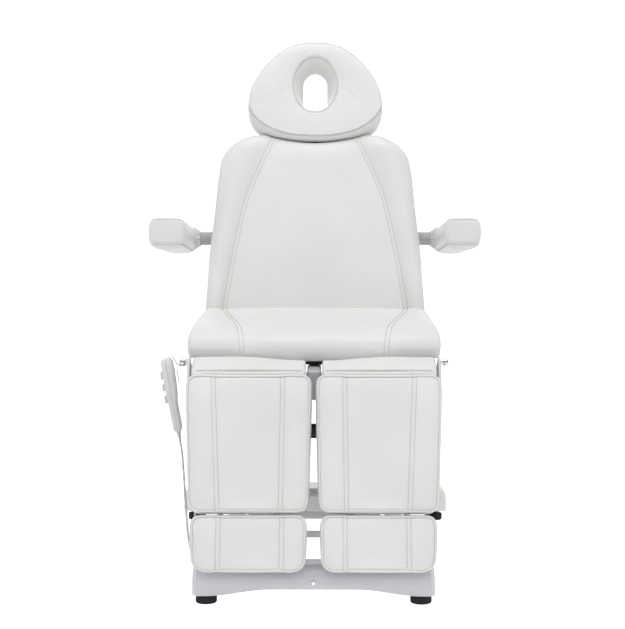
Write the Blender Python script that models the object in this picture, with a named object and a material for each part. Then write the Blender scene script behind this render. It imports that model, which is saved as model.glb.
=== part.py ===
"""Electric treatment chair: scissor lift base, tilting seat, reclining back with a
face-hole headrest, two folding armrests, two separate leg rests with sliding foot
pads and a corded handset.  Metres, +Z up, the front faces -Y, +X is on the right
seen from the front.  The origin is on the floor under the middle of the chair."""

import math

import bmesh
import bpy
from mathutils import Matrix, Vector

# ---------------------------------------------------------------- dimensions
GAP = 0.0003                 # between touching pieces
MIDDLE_SHIFT = 0.0112        # puts the origin under the middle of the whole chair

# base
FRONT_BAR_W = 0.570
FRONT_BAR_Y = (-0.480, -0.380)
REAR_BAR_W = 0.769
REAR_BAR_Y = (0.375, 0.475)
FRONT_FOOT = (0.254, -0.440)
REAR_FOOT = (0.349, 0.424)
RAIL_X = (0.200, 0.240)
RAIL_Z = (0.035, 0.075)
FOOT_R = 0.0235
INLET = (0.150, 0.475, 0.066)

# scissor lift
LIFT_PIVOT = (0.270, 0.110)          # y, z of the fixed lower rear pivot
SCISSOR_RUN = 0.470
SCISSOR_RISE = 0.300
OUTER_ARM_X = (0.178, 0.190)
INNER_ARM_X = (0.156, 0.168)
ARM_DEPTH = 0.030
LIFT_ACT_X = 0.080
LIFT_ACT_BASE = (0.100, 0.050)
LIFT_ACT_TOP = (0.136, 0.225)

# carriage and seat
CARRIAGE_X = (0.203, 0.225)
CARRIAGE_Z = (0.4303, 0.455)
TILT_PIVOT = (0.200, 0.485)
SEAT_TUBE_X = (0.2325, 0.2575)
SEAT_TUBE_Z = (0.470, 0.500)
TILT_ACT_X = 0.080
TILT_LINE_Z = 0.400
TILT_HALF = math.radians(7.5)

# back
BACK_PIVOT = (0.310, 0.555)
BACK_LEAN = math.radians(15.0)
BACK_FACE = 0.080
BACK_REAR = 0.0215
BACK_SWEEP_HALF = math.radians(37.5)
BACK_LINE_Z = 0.480
ARM_AXIS = (0.285, -0.005)           # along the back, out of the back
ARM_TUBE_R = 0.019

# headrest
HEAD_FACE = 0.085
HEAD_REAR = 0.005
HEAD_ROD_X = 0.050
HEAD_ROD_OUT = -0.0145
HEAD_PIVOT_S = 0.600

# legs
LEG_PIVOT = (-0.240, 0.490)
LEG_LEAN = math.radians(25.9)
PAD_FACE = 0.118
PAD_REAR = 0.063
GUIDE_OUT = 0.0515
GUIDE_X = (0.090, 0.220)
SHAFT_R = 0.015

# handset
HANDSET_AT = (-0.350, -0.250, 0.466)
HANDSET_LEAN = math.radians(9.0)
HANDSET_SIZE = (0.029, 0.050, 0.184)
CORD_D = 0.006
GLAND_AT = (-0.2803, 0.030, 0.500)

# ---------------------------------------------------------------- start clean
for old in list(bpy.data.objects):
    bpy.data.objects.remove(old, do_unlink=True)
SCENE = bpy.context.scene.collection


# ---------------------------------------------------------------- materials
def material(name, colour, roughness, metallic=0.0):
    m = bpy.data.materials.new(name)
    m.use_nodes = True
    shader = m.node_tree.nodes["Principled BSDF"]
    shader.inputs["Base Color"].default_value = (*colour, 1.0)
    shader.inputs["Roughness"].default_value = roughness
    shader.inputs["Metallic"].default_value = metallic
    m.diffuse_color = (*colour, 1.0)
    return m


FINISH = {
    "leather": ((0.86, 0.855, 0.845), 0.42, 0.0),
    "white_shell": ((0.80, 0.80, 0.80), 0.35, 0.0),
    "grey_steel": ((0.52, 0.52, 0.55), 0.40, 0.2),
    "white_steel": ((0.74, 0.74, 0.76), 0.40, 0.0),
    "black_steel": ((0.02, 0.02, 0.02), 0.45, 0.0),
    "chrome": ((0.80, 0.80, 0.82), 0.12, 1.0),
    "zinc": ((0.60, 0.61, 0.62), 0.35, 1.0),
    "black_rubber": ((0.015, 0.015, 0.015), 0.75, 0.0),
    "ply": ((0.60, 0.46, 0.30), 0.65, 0.0),
    "grey_plastic": ((0.62, 0.63, 0.65), 0.45, 0.0),
    "dark_plastic": ((0.09, 0.09, 0.10), 0.5, 0.0),
    "button": ((0.30, 0.34, 0.42), 0.5, 0.0),
    "cord": ((0.50, 0.49, 0.46), 0.5, 0.0),
}


# ---------------------------------------------------------------- mesh helpers
def to_mesh(bm):
    bm.normal_update()
    bmesh.ops.recalc_face_normals(bm, faces=bm.faces[:])
    if bm.calc_volume(signed=True) < 0:
        bmesh.ops.reverse_faces(bm, faces=bm.faces[:])
    mesh = bpy.data.meshes.new("shape")
    bm.to_mesh(mesh)
    bm.free()
    return mesh


def box(x, y, z):
    """A block between two limits on each axis."""
    bm = bmesh.new()
    bmesh.ops.create_cube(bm, size=1.0)
    for v in bm.verts:
        v.co = Vector(
            [(lo + hi) / 2 + c * (hi - lo) for c, (lo, hi) in zip(v.co, (x, y, z))]
        )
    return to_mesh(bm)


def prism(outline, lo, hi, axis="x"):
    """An outline in the plane across an axis, extruded along it."""
    bm = bmesh.new()

    def at(a, b, c):
        return {"x": (c, a, b), "y": (a, c, b), "z": (a, b, c)}[axis]

    face = bm.faces.new([bm.verts.new(at(a, b, lo)) for a, b in outline])
    grown = bmesh.ops.extrude_face_region(bm, geom=[face])["geom"]
    shift = Vector(at(0, 0, hi - lo))
    bmesh.ops.translate(
        bm, vec=shift, verts=[g for g in grown if isinstance(g, bmesh.types.BMVert)]
    )
    return to_mesh(bm)


def rod(a, b, r, sides=12, r_end=None):
    """A round bar, or a cone when its end radius differs."""
    a, b = Vector(a), Vector(b)
    bm = bmesh.new()
    bmesh.ops.create_cone(
        bm,
        cap_ends=True,
        segments=sides,
        radius1=r,
        radius2=r if r_end is None else r_end,
        depth=(b - a).length,
    )
    turn = (b - a).to_track_quat("Z", "Y").to_matrix().to_4x4()
    bm.transform(Matrix.Translation((a + b) / 2) @ turn)
    return to_mesh(bm)


def turned(profile, sides=14):
    """A profile of (radius, height) points turned round Z, closed on its axis."""
    bm = bmesh.new()
    rings = []
    for r, z in profile:
        if r < 1e-6:
            rings.append([bm.verts.new((0, 0, z))])
        else:
            rings.append(
                [
                    bm.verts.new(
                        (
                            r * math.cos(2 * math.pi * i / sides),
                            r * math.sin(2 * math.pi * i / sides),
                            z,
                        )
                    )
                    for i in range(sides)
                ]
            )
    for low, high in zip(rings, rings[1:]):
        for i in range(sides):
            j = (i + 1) % sides
            if len(low) == 1:
                bm.faces.new((low[0], high[j], high[i]))
            elif len(high) == 1:
                bm.faces.new((low[i], low[j], high[0]))
            else:
                bm.faces.new((low[i], low[j], high[j], high[i]))
    for ring in (rings[0], rings[-1]):
        if len(ring) > 1:
            bm.faces.new(ring)
    return to_mesh(bm)


def loft(rings):
    """Closed rings of equal count joined one to the next, with both ends capped."""
    bm = bmesh.new()
    made = [[bm.verts.new(p) for p in ring] for ring in rings]
    n = len(made[0])
    for low, high in zip(made, made[1:]):
        for i in range(n):
            j = (i + 1) % n
            bm.faces.new((low[i], low[j], high[j], high[i]))
    bm.faces.new(made[0])
    bm.faces.new(made[-1])
    return to_mesh(bm)


def moved(mesh, matrix):
    mesh.transform(matrix)
    return mesh


def worked(base, add=(), cut=(), bevel=0.0, segments=2, angle=30.0, first=False):
    """Booleans and a bevel evaluated into one mesh.  With first set the bevel comes
    before the Booleans."""
    host = bpy.data.objects.new("host", base)
    SCENE.objects.link(host)
    helpers = []

    def round_off():
        if bevel:
            m = host.modifiers.new("Bevel", "BEVEL")
            m.width = bevel
            m.segments = segments
            m.limit_method = "ANGLE"
            m.angle_limit = math.radians(angle)
            m.use_clamp_overlap = True

    if first:
        round_off()
    for meshes, operation in ((add, "UNION"), (cut, "DIFFERENCE")):
        for mesh in meshes:
            helper = bpy.data.objects.new("helper", mesh)
            helper.hide_render = True
            helper.display_type = "WIRE"
            SCENE.objects.link(helper)
            helpers.append(helper)
            m = host.modifiers.new("Boolean", "BOOLEAN")
            m.operation = operation
            m.object = helper
            m.solver = "EXACT"
    if not first:
        round_off()
    bpy.context.view_layer.update()
    graph = bpy.context.evaluated_depsgraph_get()
    mesh = bpy.data.meshes.new_from_object(host.evaluated_get(graph))
    for o in (host, *helpers):
        bpy.data.objects.remove(o, do_unlink=True)
    return mesh


def axis_empty(name, at, lean=0.0, parent=None, about="X"):
    """An empty on a joint's axis, turned into its part's own frame."""
    e = bpy.data.objects.new(name, None)
    e.empty_display_size = 0.05
    SCENE.objects.link(e)
    world = Matrix.Translation(Vector(at)) @ Matrix.Rotation(lean, 4, about)
    WORLD[e.name] = world
    if parent:
        e.parent = parent
        e.matrix_local = WORLD[parent.name].inverted() @ world
    else:
        e.matrix_local = world
    return e


WORLD = {}


def piece(name, mesh, frame, finish):
    """A named piece in its frame, shaded smooth across shallow edges."""
    mesh.name = name
    mesh.shade_smooth()
    mesh.set_sharp_from_angle(angle=math.radians(35))
    mesh.materials.clear()
    mesh.materials.append(material(name + "_finish", *FINISH[finish]))
    o = bpy.data.objects.new(name, mesh)
    SCENE.objects.link(o)
    o.parent = frame
    return o


def circle(r, count=24, at=(0.0, 0.0), squeeze=1.0):
    return [
        (
            at[0] + r * math.cos(2 * math.pi * i / count),
            at[1] + r * squeeze * math.sin(2 * math.pi * i / count),
        )
        for i in range(count)
    ]


def rounded(corners, radii, steps=3):
    """A polygon's outline with each corner rounded to its radius."""
    out = []
    n = len(corners)
    for i in range(n):
        p, a, b = (
            Vector(corners[i]),
            Vector(corners[i - 1]),
            Vector(corners[(i + 1) % n]),
        )
        r = radii[i] if isinstance(radii, (list, tuple)) else radii
        if r <= 0:
            out.append(tuple(p))
            continue
        u, v = (a - p).normalized(), (b - p).normalized()
        half = u.angle(v) / 2
        reach = r / math.tan(half)
        start, end = p + u * reach, p + v * reach
        centre = p + (u + v).normalized() * (r / math.sin(half))
        first, last = start - centre, end - centre
        turn = first.angle_signed(last)
        for k in range(steps + 1):
            w = first.copy()
            w.rotate(Matrix.Rotation(-turn * k / steps, 2))
            out.append(tuple(centre + w))
    return out


def mirrored(half):
    """A closed outline from its right half, listed from bottom to top."""
    left = [(-x, s) for x, s in reversed(half) if abs(x) > 1e-6]
    return list(half) + left


# ---------------------------------------------------------------- joint frames
BASE = axis_empty("base_frame", (0, 0, 0))
OUTER = axis_empty("outer_scissor_axis", (0, *LIFT_PIVOT), parent=BASE)
MID = (
    LIFT_PIVOT[0] - SCISSOR_RUN / 2,
    LIFT_PIVOT[1] + SCISSOR_RISE / 2,
)
INNER = axis_empty("inner_scissor_axis", (0, *MID), parent=OUTER)
CARRIAGE = axis_empty(
    "carriage_axis", (0, LIFT_PIVOT[0], LIFT_PIVOT[1] + SCISSOR_RISE), parent=INNER
)
SEAT = axis_empty("seat_tilt_axis", (0, *TILT_PIVOT), parent=CARRIAGE)
BACK = axis_empty("back_axis", (0, *BACK_PIVOT), -BACK_LEAN, parent=SEAT)
LEGS = {
    side: axis_empty(
        "leg_axis_" + side, (0, *LEG_PIVOT), -LEG_LEAN, parent=SEAT
    )
    for side in ("left", "right")
}
FEET = {
    side: axis_empty(
        "foot_slide_axis_" + side, (0, *LEG_PIVOT), -LEG_LEAN, parent=LEGS[side]
    )
    for side in ("left", "right")
}
SIGN = {"left": -1, "right": 1}


def from_world(frame, mesh):
    """Meshes drawn in the row's own frame, moved into a joint's frame."""
    mesh.transform(WORLD[frame.name].inverted())
    return mesh


# ---------------------------------------------------------------- base
def bar_shell(width, y, z_top, z_end, z_mid, feet, wall=0.004):
    """A beam with sloping ends and an arched lower edge, open underneath, with a
    boss inside for each foot's stud."""
    hw = width / 2
    lower = []
    for i in range(13):
        t = -1 + 2 * i / 12
        lower.append(
            (hw * t, z_end + (z_mid - z_end) * max(0.0, math.cos(t * math.pi / 2)) ** 0.7)
        )
    outline = lower + [
        (hw - 0.002, z_top - 0.020),
        (hw - 0.016, z_top),
        (-hw + 0.016, z_top),
        (-hw + 0.002, z_top - 0.020),
    ]
    outer = prism(outline, y[0], y[1], "y")
    outer = worked(outer, bevel=0.006, segments=1, angle=50)
    inner_outline = [
        (-hw + 0.008, 0.0),
        (hw - 0.008, 0.0),
        (hw - 0.008, z_top - 0.024),
        (hw - 0.020, z_top - wall),
        (-hw + 0.020, z_top - wall),
        (-hw + 0.008, z_top - 0.024),
    ]
    inner = prism(inner_outline, y[0] + wall, y[1] - wall, "y")
    shell = worked(outer, cut=[inner])
    bosses = [
        rod((x, fy, z_end + 0.001), (x, fy, z_top - wall / 2), 0.016, 12)
        for x, fy in feet
    ]
    holes = [
        rod((x, fy, 0.0), (x, fy, z_end + 0.0165), 0.0055, 10) for x, fy in feet
    ]
    return worked(shell, add=bosses, cut=holes)


front_feet = [(sx * FRONT_FOOT[0], FRONT_FOOT[1]) for sx in (-1, 1)]
rear_feet = [(sx * REAR_FOOT[0], REAR_FOOT[1]) for sx in (-1, 1)]
front = bar_shell(FRONT_BAR_W, FRONT_BAR_Y, 0.090, 0.023, 0.039, front_feet)
screw_hole = rod((0, -0.50, 0.056), (0, -0.46, 0.056), 0.0033, 10)
front = worked(front, cut=[screw_hole])
piece("front_base_cover", front, BASE, "white_shell")
rear = bar_shell(REAR_BAR_W, REAR_BAR_Y, 0.100, 0.030, 0.030, rear_feet)
socket = box(
    (INLET[0] - 0.0153, INLET[0] + 0.0153),
    (0.465, 0.485),
    (INLET[2] - 0.0123, INLET[2] + 0.0123),
)
rear = worked(rear, cut=[socket])
piece("rear_base_cover", rear, BASE, "white_shell")

screw = turned(
    [(0, -0.0125), (0.0030, -0.0125), (0.0030, 0.0003), (0.0065, 0.0003),
     (0.0060, 0.0020), (0.0040, 0.0032), (0, 0.0036)],
    16,
)
screw = moved(
    screw,
    Matrix.Translation((0, FRONT_BAR_Y[0], 0.056)) @ Matrix.Rotation(math.pi / 2, 4, "X"),
)
piece("front_cover_screw", screw, BASE, "chrome")

inlet = worked(
    box(
        (INLET[0] - 0.0150, INLET[0] + 0.0150),
        (INLET[1] - 0.020, INLET[1] - 0.0003),
        (INLET[2] - 0.0120, INLET[2] + 0.0120),
    ),
    add=[
        box(
            (INLET[0] - 0.0240, INLET[0] + 0.0240),
            (INLET[1] + 0.0003, INLET[1] + 0.0028),
            (INLET[2] - 0.0150, INLET[2] + 0.0150),
        ),
        box(
            (INLET[0] - 0.0148, INLET[0] + 0.0148),
            (INLET[1] - 0.002, INLET[1] + 0.0010),
            (INLET[2] - 0.0118, INLET[2] + 0.0118),
        ),
    ],
    cut=[
        box(
            (INLET[0] - 0.0120, INLET[0] + 0.0120),
            (INLET[1] - 0.015, INLET[1] + 0.010),
            (INLET[2] - 0.0085, INLET[2] + 0.0085),
        )
    ],
)
piece("mains_inlet", inlet, BASE, "dark_plastic")

for side, s in SIGN.items():
    x0, x1 = sorted((s * RAIL_X[0], s * RAIL_X[1]))
    lug_x = sorted((s * 0.203, s * 0.213))
    rail = worked(
        box((x0, x1), (FRONT_BAR_Y[1] + GAP, REAR_BAR_Y[0] - GAP), RAIL_Z),
        bevel=0.003,
        segments=1,
    )
    lug = prism(
        rounded([(0.235, 0.070), (0.305, 0.070), (0.290, 0.134), (0.250, 0.134)],
                [0, 0, 0.014, 0.014]),
        lug_x[0], lug_x[1], "x",
    )
    hole = rod((s * 0.15, *LIFT_PIVOT), (s * 0.25, *LIFT_PIVOT), 0.0088, 12)
    rail = worked(rail, add=[lug], cut=[hole])
    if side == "right":
        ears = []
        cross = box((-0.1997, 0.205), (0.083, 0.117), (0.026, 0.0372))
        for c in (LIFT_ACT_X - 0.0155, LIFT_ACT_X + 0.0155):
            ears.append(
                prism(
                    rounded([(0.088, 0.030), (0.112, 0.030), (0.112, 0.061),
                             (0.088, 0.061)], [0, 0, 0.009, 0.009]),
                    c - 0.003, c + 0.003, "x",
                )
            )
        pin = rod(
            (LIFT_ACT_X - 0.0175, *LIFT_ACT_BASE),
            (LIFT_ACT_X + 0.0175, *LIFT_ACT_BASE), 0.005, 10,
        )
        rail = worked(rail, add=[cross, *ears, pin])
    piece(side + "_base_rail", rail, BASE, "white_steel")

foot_profile = [
    (0, 0.0), (0.0215, 0.0), (FOOT_R, 0.0015), (FOOT_R, 0.0070), (0.0200, 0.0100),
    (0.0090, 0.0115), (0.0090, 0.0180), (0.0050, 0.0180), (0.0050, 0.0370), (0, 0.0370),
]
for name, (x, y), lift in (
    ("front_left_foot", front_feet[0], 0.0),
    ("front_right_foot", front_feet[1], 0.0),
    ("rear_left_foot", rear_feet[0], 0.0),
    ("rear_right_foot", rear_feet[1], 0.0),
):
    profile = list(foot_profile)
    if name.startswith("rear"):
        profile = [(r, z if z < 0.015 else z + 0.007) for r, z in foot_profile]
    piece(name, moved(turned(profile, 14), Matrix.Translation((x, y, 0))), BASE,
          "black_rubber")

# ---------------------------------------------------------------- scissor lift
THETA = math.atan2(SCISSOR_RISE, SCISSOR_RUN)
ARM_L = math.hypot(SCISSOR_RISE, SCISSOR_RUN)


def on_outer(a, b=0.0):
    """A point a along the outer arm from its lower pivot and b off it."""
    return (
        LIFT_PIVOT[0] - a * math.cos(THETA) + b * math.sin(THETA),
        LIFT_PIVOT[1] + a * math.sin(THETA) + b * math.cos(THETA),
    )


def on_inner(a):
    """A point a along the inner arm from its lower front end."""
    return (
        LIFT_PIVOT[0] - SCISSOR_RUN + a * math.cos(THETA),
        LIFT_PIVOT[1] + a * math.sin(THETA),
    )


def arm_bar(start, end, x, depth=ARM_DEPTH):
    """A flat bar with round ends between two points of the side view."""
    a, b = Vector(start), Vector(end)
    u = (b - a).normalized()
    v = Vector((-u.y, u.x))
    r = depth / 2
    outline = []
    for centre, first in ((b, -90), (a, 90)):
        for k in range(7):
            t = math.radians(first + 180 * k / 6)
            w = centre + (u * math.cos(t) + v * math.sin(t)) * r
            outline.append((w.x, w.y))
    return prism(outline, min(x), max(x), "x")


def across(at, x0, x1, r, sides=12):
    return rod((x0, *at), (x1, *at), r, sides)


bars, adds, cuts = [], [], []
for s in (-1, 1):
    x = [s * v for v in OUTER_ARM_X]
    bars.append(arm_bar(on_outer(0), on_outer(ARM_L), x))
    cuts.append(across(MID, s * 0.150, s * 0.196, 0.0108))
    adds.append(across(on_outer(0), s * 0.185, s * 0.2125, 0.008))
    adds.append(across(on_outer(ARM_L), s * 0.185, s * 0.222, 0.008))
    adds.append(across(on_outer(ARM_L), s * 0.2035, s * 0.222, 0.0200, 16))
adds.append(across(on_outer(0), -0.184, 0.184, 0.0125))
adds.append(across(on_outer(0.4508), -0.184, 0.184, 0.0195, 16))
stub = on_outer(0.225)
lug_top = on_outer(0.175, 0.025)
adds.append(across(stub, LIFT_ACT_X - 0.005, 0.184, 0.011))
lug = arm_bar(stub, lug_top, (LIFT_ACT_X - 0.005, LIFT_ACT_X + 0.005), 0.036)
adds.append(lug)
cuts.append(across(lug_top, LIFT_ACT_X - 0.02, LIFT_ACT_X + 0.02, 0.0112, 14))
outer_frame = worked(bars[0], add=[adds.pop(6), bars[1], *adds], cut=cuts)
piece("outer_scissor_frame", from_world(OUTER, outer_frame), OUTER, "white_steel")

bars, adds, cuts = [], [], []
top = on_inner(ARM_L)
for s in (-1, 1):
    x = [s * v for v in INNER_ARM_X]
    bars.append(arm_bar(on_inner(0), on_inner(ARM_L), x))
    adds.append(across(MID, s * 0.160, s * 0.1935, 0.0100, 14))
    adds.append(across(on_inner(0), s * 0.162, s * 0.228, 0.008))
    adds.append(across(on_inner(0), s * 0.2035, s * 0.228, 0.0347, 20))
    adds.append(across(top, s * 0.162, s * 0.2125, 0.008))
adds.insert(0, across(top, -0.162, 0.162, 0.0125))
adds.append(across(on_inner(0.0593), -0.162, 0.162, 0.010))
inner_frame = worked(bars[0], add=[adds[0], bars[1], *adds[1:]], cut=cuts)
piece("inner_scissor_frame", from_world(INNER, inner_frame), INNER, "white_steel")

# lift actuator: a body hinged on the base and a rod to the outer arm's lug
a, b = Vector(LIFT_ACT_BASE), Vector(lug_top)
LIFT_LEN = (b - a).length
lift_turn = math.atan2(-(b - a).x, (b - a).y)
LIFT_ACT = axis_empty(
    "lift_actuator_axis", (LIFT_ACT_X, *LIFT_ACT_BASE), lift_turn, parent=BASE
)
act = worked(
    rod((0, 0, 0.016), (0, 0, 0.135), 0.0215, 16),
    add=[
        prism(
            rounded([(-0.011, -0.011), (0.011, -0.011), (0.011, 0.024),
                     (-0.011, 0.024)], [0.010, 0.010, 0, 0]),
            -0.0118, 0.0118, "x",
        )
    ],
    cut=[
        rod((0, 0, 0.028), (0, 0, 0.140), 0.0095, 14),
        rod((-0.02, 0, 0), (0.02, 0, 0), 0.0055, 12),
    ],
)
piece("lift_actuator_body", act, LIFT_ACT, "dark_plastic")
LIFT_ROD = axis_empty(
    "lift_rod_axis", (LIFT_ACT_X, *LIFT_ACT_BASE), lift_turn, parent=LIFT_ACT
)


def fork(length, reach=0.032, half_in=0.0058, half_out=0.0110, depth=0.020):
    """A clevis and its pin at the end of a rod that runs along +Z."""
    base, seat, tip = length - reach - 0.010, length - reach, length + 0.009
    clevis = prism(
        [(-half_out, base), (half_out, base), (half_out, tip), (half_in, tip),
         (half_in, seat), (-half_in, seat), (-half_in, tip), (-half_out, tip)],
        -depth / 2, depth / 2, "y",
    )
    pin = rod((-half_out + 0.001, 0, length), (half_out - 0.001, 0, length), 0.006, 12)
    return [clevis, pin]


rod_mesh = worked(
    rod((0, 0, 0.030), (0, 0, LIFT_LEN - 0.037), 0.0088, 14), add=fork(LIFT_LEN)
)
piece("lift_actuator_rod", rod_mesh, LIFT_ROD, "chrome")

# ---------------------------------------------------------------- carriage
cx0, cx1 = CARRIAGE_X
parts, cuts = [], []
for s in (-1, 1):
    xs = sorted((s * cx0, s * cx1))
    parts.append(box(xs, (-0.235, 0.292), CARRIAGE_Z))
    lug_x = sorted((s * 0.203, s * 0.213))
    parts.append(
        prism(
            rounded([(0.250, 0.440), (0.250, 0.392), (0.290, 0.392), (0.290, 0.440)],
                    [0, 0.012, 0.012, 0]),
            lug_x[0], lug_x[1], "x",
        )
    )
    parts.append(
        prism(
            rounded([(0.178, 0.440), (0.222, 0.440), (0.216, 0.503), (0.184, 0.503)],
                    [0, 0, 0.014, 0.014]),
            xs[0], xs[1], "x",
        )
    )
    parts.append(across(TILT_PIVOT, s * 0.215, s * 0.2440, 0.0080))
    cuts.append(across(top, s * 0.15, s * 0.24, 0.0088))
parts.append(box((-0.210, 0.210), (-0.020, 0.010), (0.4303, 0.445)))
parts.append(box((-0.210, 0.210), (0.238, 0.258), (0.4303, 0.4410)))
parts.append(
    box((TILT_ACT_X - 0.012, TILT_ACT_X + 0.012), (-0.015, 0.005),
        (TILT_LINE_Z + 0.0163, 0.436))
)
carriage = worked(
    parts[0], add=[parts[8], parts[4], *parts[1:4], *parts[5:8], *parts[9:]], cut=cuts
)
piece("carriage_frame", from_world(CARRIAGE, carriage), CARRIAGE, "white_steel")

# tilt actuator, level on the carriage, pushing a slotted lever of the seat frame
TILT_ARM = TILT_PIVOT[1] - TILT_LINE_Z
tilt_pin_y = TILT_PIVOT[0] + TILT_ARM * math.tan(TILT_HALF)
body = worked(
    rod((TILT_ACT_X, -0.050, TILT_LINE_Z), (TILT_ACT_X, 0.120, TILT_LINE_Z), 0.016, 14),
    cut=[rod((TILT_ACT_X, -0.010, TILT_LINE_Z), (TILT_ACT_X, 0.130, TILT_LINE_Z),
             0.0075, 12)],
)
piece("tilt_actuator_body", from_world(CARRIAGE, body), CARRIAGE, "dark_plastic")
TILT_ROD = axis_empty(
    "tilt_rod_axis", (TILT_ACT_X, tilt_pin_y, TILT_LINE_Z), parent=CARRIAGE
)
ty = 0.0
level_fork = [
    moved(m, Matrix.Rotation(-math.pi / 2, 4, "X"))
    for m in fork(0.0, reach=0.030, depth=0.016)
]
rod_mesh = worked(
    rod((0, 0.030 - tilt_pin_y, 0), (0, -0.036, 0), 0.0070, 12), add=level_fork
)
piece("tilt_actuator_rod", rod_mesh, TILT_ROD, "chrome")

# ---------------------------------------------------------------- seat frame
tx0, tx1 = SEAT_TUBE_X
tz0, tz1 = SEAT_TUBE_Z
parts, cuts = [], []
front_cross = box((-0.3125, 0.3125), (-0.172, -0.142), SEAT_TUBE_Z)
for s in (-1, 1):
    xs = sorted((s * tx0, s * tx1))
    parts.append(box(xs, (-0.150, 0.326), SEAT_TUBE_Z))
    for y in ((-0.142, -0.117), (0.185, 0.210)):
        parts.append(box(xs, y, (0.495, 0.5337)))
    lug_x = sorted((s * 0.2455, s * 0.2575))
    parts.append(
        prism(
            rounded([(0.296, 0.485), (0.326, 0.485), (0.3245, 0.5695), (0.2955, 0.5695)],
                    [0, 0, 0.0140, 0.0140]),
            lug_x[0], lug_x[1], "x",
        )
    )
    side_x = sorted((s * 0.3065, s * 0.3125))
    parts.append(
        prism(
            rounded(
                [(-0.143, 0.468), (-0.143, 0.502), (-0.232, 0.560), (-0.262, 0.560),
                 (-0.262, 0.478), (-0.245, 0.466)],
                [0.003, 0.003, 0.006, 0.006, 0.012, 0.006],
            ),
            side_x[0], side_x[1], "x",
        )
    )
    parts.append(across(BACK_PIVOT, s * 0.2250, s * 0.2520, 0.0080))
    cuts.append(across(TILT_PIVOT, s * 0.2320, s * 0.2462, 0.0088))
    cuts.append(across(LEG_PIVOT, s * 0.300, s * 0.320, SHAFT_R + 0.0003, 16))
    cuts.append(rod((s * 0.300, -0.250, 0.548), (s * 0.320, -0.250, 0.548), 0.0043, 10))
parts.append(box((-0.245, 0.245), (0.185, 0.210), (0.5045, 0.530)))
centre_block = worked(
    box((-0.017, 0.017), (-0.280, -0.150), (0.457, 0.530)), bevel=0.004, segments=1
)
parts.append(centre_block)
cuts.append(across(LEG_PIVOT, -0.03, 0.03, SHAFT_R + 0.0003, 16))
lever_end = (
    TILT_PIVOT[0] + 0.103 * math.sin(TILT_HALF),
    TILT_PIVOT[1] - 0.103 * math.cos(TILT_HALF),
)
lever_x = (TILT_ACT_X - 0.005, TILT_ACT_X + 0.005)
parts.append(arm_bar((0.1975, 0.515), lever_end, lever_x, 0.034))
slot = arm_bar(
    (TILT_PIVOT[0] + 0.079 * math.sin(TILT_HALF),
     TILT_PIVOT[1] - 0.079 * math.cos(TILT_HALF)),
    (TILT_PIVOT[0] + 0.093 * math.sin(TILT_HALF),
     TILT_PIVOT[1] - 0.093 * math.cos(TILT_HALF)),
    (TILT_ACT_X - 0.02, TILT_ACT_X + 0.02), 0.017,
)
cuts.append(slot)
parts.append(box((-0.012, 0.012), (-0.150, -0.1353), (0.470, 0.490)))
frame_mesh = worked(front_cross, add=parts, cut=cuts)
piece("seat_frame", from_world(SEAT, frame_mesh), SEAT, "grey_steel")

board = worked(
    box((-0.290, 0.290), (-0.190, 0.190), (0.5340, 0.5457)), bevel=0.003, segments=1
)
piece("seat_board", from_world(SEAT, board), SEAT, "ply")

# seat cushion: side profile, wider at the front than at the back
SEAT_PROFILE = [
    (-0.192, 0.5463), (0.203, 0.5463), (0.206, 0.556), (0.212, 0.585), (0.222, 0.608),
    (0.234, 0.624), (0.240, 0.633), (0.236, 0.640), (0.215, 0.6395), (0.0, 0.628),
    (-0.130, 0.6175), (-0.165, 0.612), (-0.188, 0.600), (-0.200, 0.578),
    (-0.202, 0.560), (-0.199, 0.550),
]


def seat_half(y):
    return 0.3155 - 0.0105 * min(1.0, max(0.0, (y + 0.20) / 0.42))


def shrunk(profile, by, centre):
    return [
        (centre[0] + (y - centre[0]) * by, centre[1] + (z - centre[1]) * by)
        for y, z in profile
    ]


middle = (0.02, 0.59)
rings = []
for t, by in ((-1.0, 0.955), (-0.962, 1.0), (0.962, 1.0), (1.0, 0.955)):
    profile = [
        (y, z) if by == 1.0 else (
            middle[0] + (y - middle[0]) * (0.985 if y < 0.1 else 0.99),
            middle[1] + (z - middle[1]) * 0.80,
        )
        for y, z in SEAT_PROFILE
    ]
    rings.append([(t * seat_half(y), y, z) for y, z in profile])
piece("seat_cushion", from_world(SEAT, loft(rings)), SEAT, "leather")

# side covers of the seat frame
for side, s in SIGN.items():
    outline = [(-0.135, 0.458), (0.290, 0.458), (0.290, 0.505), (0.205, 0.505),
               (0.205, 0.5337), (-0.135, 0.5337)]
    xs = sorted((s * 0.2770, s * 0.2800))
    flange = sorted((s * 0.2600, s * 0.2785))
    cover = worked(
        prism(rounded(outline, [0.006, 0.006, 0.012, 0.006, 0.006, 0.006], 3),
              xs[0], xs[1], "x"),
        add=[box(flange, (-0.110, 0.180), (0.5307, 0.5337))],
        cut=[rod((s * 0.27, *GLAND_AT[1:]), (s * 0.29, *GLAND_AT[1:]), 0.0053, 10)]
        if side == "left" else [],
    )
    piece("seat_side_cover_" + side, from_world(SEAT, cover), SEAT, "white_shell")

control = worked(
    box((-0.210, -0.050), (0.000, 0.130), (0.4850, 0.5335)), bevel=0.004, segments=1
)
piece("control_box", from_world(SEAT, control), SEAT, "dark_plastic")

shaft = across(LEG_PIVOT, -0.3150, 0.3150, SHAFT_R, 16)
piece("leg_hinge_shaft", from_world(SEAT, shaft), SEAT, "zinc")

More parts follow.
